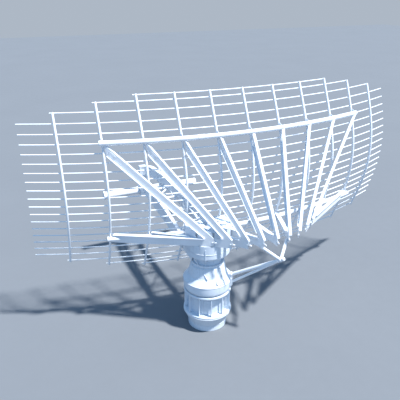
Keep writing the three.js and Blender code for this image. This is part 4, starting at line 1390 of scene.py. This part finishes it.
def studio():
    """A plain floor, a blue sky light that the camera doesn't see, and one soft sun."""
    bm = bmesh.new()
    slab(bm, moved(0, 0, -0.02), FLOOR_SIDE, FLOOR_SIDE, 0, FLOOR_TOP + 0.02)
    mesh = bpy.data.meshes.new("studio_floor")
    bm.to_mesh(mesh)
    bm.free()
    mesh.materials.append(FLOOR)
    floor = bpy.data.objects.new("studio_floor", mesh)
    bpy.context.scene.collection.objects.link(floor)

    world = bpy.data.worlds.new("studio")
    world.use_nodes = True
    tree = world.node_tree
    sky = tree.nodes["Background"]
    sky.inputs["Color"].default_value = SKY_COLOUR
    sky.inputs["Strength"].default_value = SKY_STRENGTH
    backdrop = tree.nodes.new("ShaderNodeBackground")
    backdrop.inputs["Color"].default_value = BACKDROP_COLOUR
    seen = tree.nodes.new("ShaderNodeLightPath")
    mix = tree.nodes.new("ShaderNodeMixShader")
    tree.links.new(seen.outputs["Is Camera Ray"], mix.inputs["Fac"])
    tree.links.new(sky.outputs["Background"], mix.inputs[1])
    tree.links.new(backdrop.outputs["Background"], mix.inputs[2])
    tree.links.new(mix.outputs["Shader"], tree.nodes["World Output"].inputs["Surface"])
    bpy.context.scene.world = world

    key_aim = Vector((math.cos(SUN_AZIMUTH), math.sin(SUN_AZIMUTH), math.tan(SUN_ELEVATION))).normalized()
    key = bpy.data.lights.new("key", "SUN")
    key.energy = SUN_STRENGTH
    key.angle = SUN_WIDTH
    key.color = SUN_COLOUR
    lamp = bpy.data.objects.new("key", key)
    lamp.rotation_mode = "QUATERNION"
    lamp.rotation_quaternion = key_aim.to_track_quat("Z", "Y")
    lamp.location = key_aim * 12
    bpy.context.scene.collection.objects.link(lamp)
    bpy.context.scene.view_settings.view_transform = "Standard"


def camera():
    """The photo's viewpoint."""
    level = math.cos(CAMERA_ELEVATION)
    east = math.sin(CAMERA_AZIMUTH) * level
    north = -math.cos(CAMERA_AZIMUTH) * level
    back = Vector((east, north, math.sin(CAMERA_ELEVATION)))
    lens = bpy.data.cameras.new("camera")
    lens.lens = CAMERA_LENS
    lens.sensor_width = 36
    lens.clip_end = 400
    made = bpy.data.objects.new("camera", lens)
    made.rotation_mode = "QUATERNION"
    made.rotation_quaternion = (-back).to_track_quat("-Z", "Y")
    made.location = CAMERA_PLACE
    bpy.context.scene.collection.objects.link(made)
    bpy.context.scene.camera = made


rods()
ribs()
crossing_welds()
beams()
beam_sleeves()
beam_gussets()
trusses()
pedestal_base()
pedestal_drum()
guard_cage()
access_door()
motor_and_brake()
bearing_and_rotary_joint()
keep_node("slewing_gear", STEEL, edge=0.0008)
keep_node("drive_pinion", STEEL, edge=0.0008)
turret_housing()
neck_flange()
neck_gussets()
inspection_covers()
turret_head()
deck_equipment()
neck_braces()
boom_fittings()
feed()
waveguide()
outrigger()
studio()
camera()
